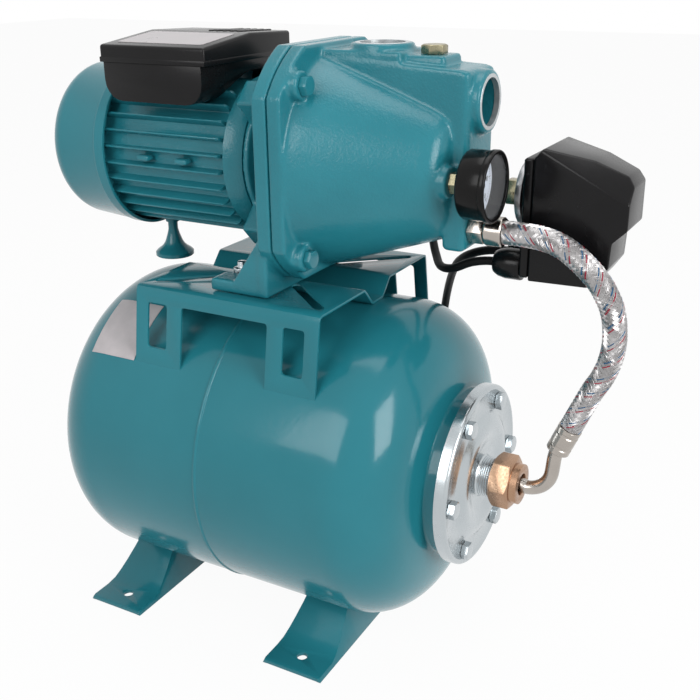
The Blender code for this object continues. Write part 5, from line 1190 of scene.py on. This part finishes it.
def makeTerminalBox():
    base = copyNode("terminal_box_base", "boxBase")
    bevelEdges(base, 0.0008, 2, 28)
    dress(base, blackPlastic, nodes=["terminal_box_base"], smooth=32)
    v = lidValues
    low = shaftZ + v["bottom"]
    outline = [(v["near"], low), (v["far"], low), (v["far"], shaftZ + v["farTop"]),
               (v["kinkY"], shaftZ + v["kinkTop"]), (v["near"], shaftZ + v["nearTop"])]
    lid = pushedPiece("boxLid", [at(v["rear"], y, z) for y, z in outline],
                      Vector((v["front"] - v["rear"], 0, 0)))
    bevelEdges(lid, 0.0024, 5, 12)
    lip = block("lidLip", at(v["rear"] - hair, v["near"] - hair, low - 0.0001),
                at(v["front"] + hair, v["far"] + hair, low + 0.0040), 0.0008, 2)
    pocket = block("lidPocket", at(v["rear"] + 0.002, v["near"] + 0.002, low - 0.002),
                   at(v["front"] - 0.002, v["far"] - 0.002, low + 0.009))
    cutPiece(lid, [lip], "UNION")
    cutPiece(lid, [pocket])
    dress(lid, blackPlastic, nodes=["terminal_box_lid"], smooth=32)
    ribs = []
    slope = (v["kinkTop"] - v["farTop"]) / (v["kinkY"] - v["far"])
    for index in range(v["ribs"]):
        x = v["ribX"] + v["ribStep"] * index
        near, far = shaftZ + v["kinkTop"] + slope * 0.004, shaftZ + v["kinkTop"] + slope * 0.050
        ribs.append(pushedPiece("lidRib", [
            at(x, v["kinkY"] + 0.004, near - 0.001), at(x, v["kinkY"] + 0.050, far - 0.001),
            at(x, v["kinkY"] + 0.050, far + 0.0010), at(x, v["kinkY"] + 0.004, near + 0.0010),
        ], Vector((0.0030, 0, 0))))
        bevelEdges(ribs[-1], 0.0006, 2)
    dress(joinPieces(ribs[0], ribs[1:]), blackPlastic)
    rise = (v["kinkTop"] - v["nearTop"]) / (v["kinkY"] - v["near"])
    corners = []
    for x, y in v["label"]:
        corners.append(at(x, y, shaftZ + v["nearTop"] + rise * (y - v["near"]) + 0.00005))
    label = pushedPiece("lidLabel", roundCorners(corners, 0.003, 5), Vector((0, 0, 0.0003)))
    dress(label, bareLabel)


makeTerminalBox()
print("terminal box made")


# Gauge

gaugeValues = {"y": -0.035, "z": -0.0014, "radius": 0.0258, "back": 0.1231, "front": 0.1457, "wall": 0.0020,
               "dial": 0.1330, "marks": 50, "numbers": 5, "start": 225, "span": 270, "markRadius": 0.0206,
               "numberRadius": 0.0140, "numberSize": 0.0052}


def makeGauge():
    v = gaugeValues
    centre = at(0, v["y"], shaftZ + v["z"])
    radius, front, inner, back = v["radius"], v["front"], v["radius"] - v["wall"], v["back"]
    profile = [(back, 0.0), (back, radius - 0.0036), (back + 0.0008, radius - 0.0020),
               (back + 0.0026, radius - 0.0009)]
    profile += [(front - 0.0048, radius - 0.0008), (front - 0.0044, radius - 0.0002),
                (front - 0.0040, radius), (front - 0.0008, radius)]
    profile += [(front - 0.0002, radius - 0.0004), (front, radius - 0.0009),
                (front - 0.0002, inner - 0.0006), (front - 0.0006, inner - 0.0010)]
    profile += [(front - 0.0018, inner - 0.0010), (front - 0.0018, inner), (v["dial"] - 0.001, inner),
                (v["dial"] - 0.001, 0.0)]
    case = spunPiece("gaugeCase", profile, centre, "X", 128)
    dress(case, gaugeBlack, nodes=["gauge_case"], smooth=40)
    marks = []
    for index in range(v["marks"] + 1):
        long = index % 10 == 0
        angle = math.radians(v["start"] - v["span"] * index / v["marks"])
        reach = 0.0034 if long else 0.0018
        half = 0.00024 if long else 0.00013
        end = v["y"] + v["markRadius"]
        mark = block("dialMark", at(v["dial"] + 0.00002, end - reach, shaftZ + v["z"] - half),
                     at(v["dial"] + 0.00016, end, shaftZ + v["z"] + half))
        turnPiece(mark, angle, "X", centre)
        marks.append(mark)
    for index in range(v["numbers"] + 1):
        angle = math.radians(v["start"] - v["span"] * index / v["numbers"])
        clearSelection()
        bpy.ops.object.text_add(location=(0, 0, 0))
        number = bpy.context.active_object
        number.data.body = str(index * 2)
        number.data.size = v["numberSize"]
        number.data.align_x = "CENTER"
        number.data.align_y = "CENTER"
        number.data.extrude = 0.00004
        number.rotation_euler = (math.pi / 2, 0, math.pi / 2)
        y, z = v["numberRadius"] * math.cos(angle), v["numberRadius"] * math.sin(angle)
        number.location = at(v["dial"] + 0.00008, v["y"] + y, shaftZ + v["z"] + z)
        bpy.ops.object.convert(target="MESH")
        number = bpy.context.active_object
        bpy.ops.object.transform_apply(location=True, rotation=True, scale=True)
        marks.append(number)
    dress(joinPieces(marks[0], marks[1:]), dialInk, smooth=0)
    glass = front - 0.0022
    lens = spunPiece("gaugeLens", [
        (glass - 0.0012, 0.0), (glass - 0.0012, inner - hair), (glass, inner - hair),
        (glass + 0.0002, inner * 0.5), (glass + 0.0003, 0.0)], centre, "X", 96)
    dress(lens, lensGlass, nodes=["gauge_lens"], smooth=40)


makeGauge()
print("gauge made")


# Pressure switch and hose fittings

for node, material, width in (("switch_base", blackPlastic, 0.0006),
                              ("switch_gland_1", blackPlastic, 0.0006),
                              ("switch_gland_2", blackPlastic, 0.0006),
                              ("switch_nipple", oliveBrass, 0.0004),
                              ("switch_diaphragm", dullSteel, 0.0003),
                              ("hose_nipple", nickelPlate, 0.0004)):
    finePiece = copyNode(node, node + "Fine")
    bevelEdges(finePiece, width, 2, 28)
    dress(finePiece, material, nodes=[node], smooth=40)


switchValues = {"near": 0.006, "far": 0.066, "farFront": 0.050, "lean": 0.1640, "front": 0.2290,
                "profile": ((0.1580, -0.0800), (0.2030, -0.0790), (0.2100, -0.0745), (0.2178, -0.0625),
                            (0.2187, -0.0440), (0.2290, -0.0335), (0.2288, -0.0040), (0.2235, 0.0025),
                            (0.1995, 0.0120), (0.1640, 0.0198), (0.1580, 0.0126))}


def sliceOff(piece, place, normal):  # cut flat, what lies beyond the plane removed
    editAll(piece)
    bpy.ops.mesh.bisect(plane_co=place, plane_no=normal, use_fill=True, clear_outer=True)
    leaveEdit()


def makeSwitchCover():
    v = switchValues
    outline = [at(x, v["near"], shaftZ + z) for x, z in v["profile"]]
    cover = pushedPiece("switchCover", outline, Vector((0, v["far"] - v["near"], 0)))
    lean = Vector((v["far"] - v["farFront"], v["front"] - v["lean"], 0)).normalized()
    sliceOff(cover, at(v["lean"], v["far"], 0), lean)
    first, second, third = (at(0.1700, v["near"], shaftZ + 0.0150),
                            at(v["front"], v["near"], shaftZ - 0.0150),
                            at(0.2235, v["near"] + 0.0150, shaftZ + 0.0030))
    slope = (second - first).cross(third - first).normalized()
    sliceOff(cover, first, slope if slope.z > 0 else -slope)
    bevelEdges(cover, 0.0030, 4, 14)
    dress(cover, blackPlastic, nodes=["switch_cover"], smooth=40)


makeSwitchCover()


nutValues = {"flats": 0.0390, "face": 0.0188, "rear": 0.14303, "length": 0.0170, "neck": 0.0168}


def makeUnionNut():
    v = nutValues
    nut = copyNode("hose_union_nut", "unionNut")
    corner, face, rear, end = v["flats"] / math.sqrt(3), v["face"], v["rear"], v["rear"] + v["length"]
    drop = (corner - face) * math.tan(math.radians(30))
    profile = [(rear - 0.001, 0.0), (rear - 0.001, face - 0.0004), (rear, face),
               (rear + drop, corner * 1.01)]
    profile += [(end - drop, corner * 1.01), (end, face), (end, v["neck"]), (end + 0.008, v["neck"]),
                (end + 0.008, 0.0)]
    cutPiece(nut, [spunPiece("nutCone", profile, at(0, 0, tankZ), "X", 96)], "INTERSECT")
    bevelEdges(nut, 0.0004, 2, 25)
    dress(nut, brassMetal, nodes=["hose_union_nut"], smooth=35)


elbowValues = {"stub": 0.14503, "bend": 0.0206, "tube": 0.0057, "ferrule": 0.0242, "collar": 0.0136}


def makeElbow():
    v = elbowValues
    stub, bendRadius = v["stub"], v["bend"]
    line = hoseLine
    down = (line[-1] - line[-2]).normalized()
    start = line[-1] + down * hair
    end = start + down * v["ferrule"]
    bend = (end.x - 0.0030 - bendRadius, tankZ - 0.0012 + bendRadius)
    turn = [Vector((x, 0, z)) for x, z in arcPoints(bend, bendRadius, -8, -90, 8)]
    knots = [end - down * 0.004, end + down * 0.003] + turn
    knots += [at(stub + 0.0200, 0, tankZ), at(stub + 0.0035, 0, tankZ)]
    tube = cordCurve("elbowTube", smoothRoute(knots, 0.0016), v["tube"], 8)
    takeUp(tube)
    bpy.ops.object.convert(target="MESH")
    tube = bpy.context.active_object
    healFaces(tube)
    profile = [(0.0, 0.0), (0.0, 0.0084), (0.0008, 0.0094), (0.0040, 0.0094), (0.0046, 0.0088),
               (0.0062, 0.0088), (0.0068, 0.0094)]
    profile += [(0.0160, 0.0094), (0.0166, 0.0087), (0.0182, 0.0087), (0.0188, 0.0094), (0.0232, 0.0094),
                (0.0242, 0.0082), (0.0242, 0.0)]
    ferrule = spunPiece("elbowFerrule", profile, Vector((0, 0, 0)), "Z", 64)
    ferrule.rotation_euler = down.to_track_quat("Z", "Y").to_euler()
    ferrule.location = start
    takeUp(ferrule)
    bpy.ops.object.transform_apply(location=True, rotation=True, scale=True)
    collar = rodPiece("elbowCollar", at(0, 0, tankZ), "X", v["collar"], stub + hair, stub + 0.0035)
    joinPieces(tube, [ferrule, collar])
    dress(tube, nickelPlate, nodes=["hose_elbow"], smooth=40)


makeUnionNut()
makeElbow()
plugBolt = chamferedBolt("filler_plug", at(0.0807, 0, 0), "Z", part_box("filler_plug")[1].z, 0.0065, 0.017,
                         oliveBrass)
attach(plugBolt, "filler_plug")
print("fittings made")
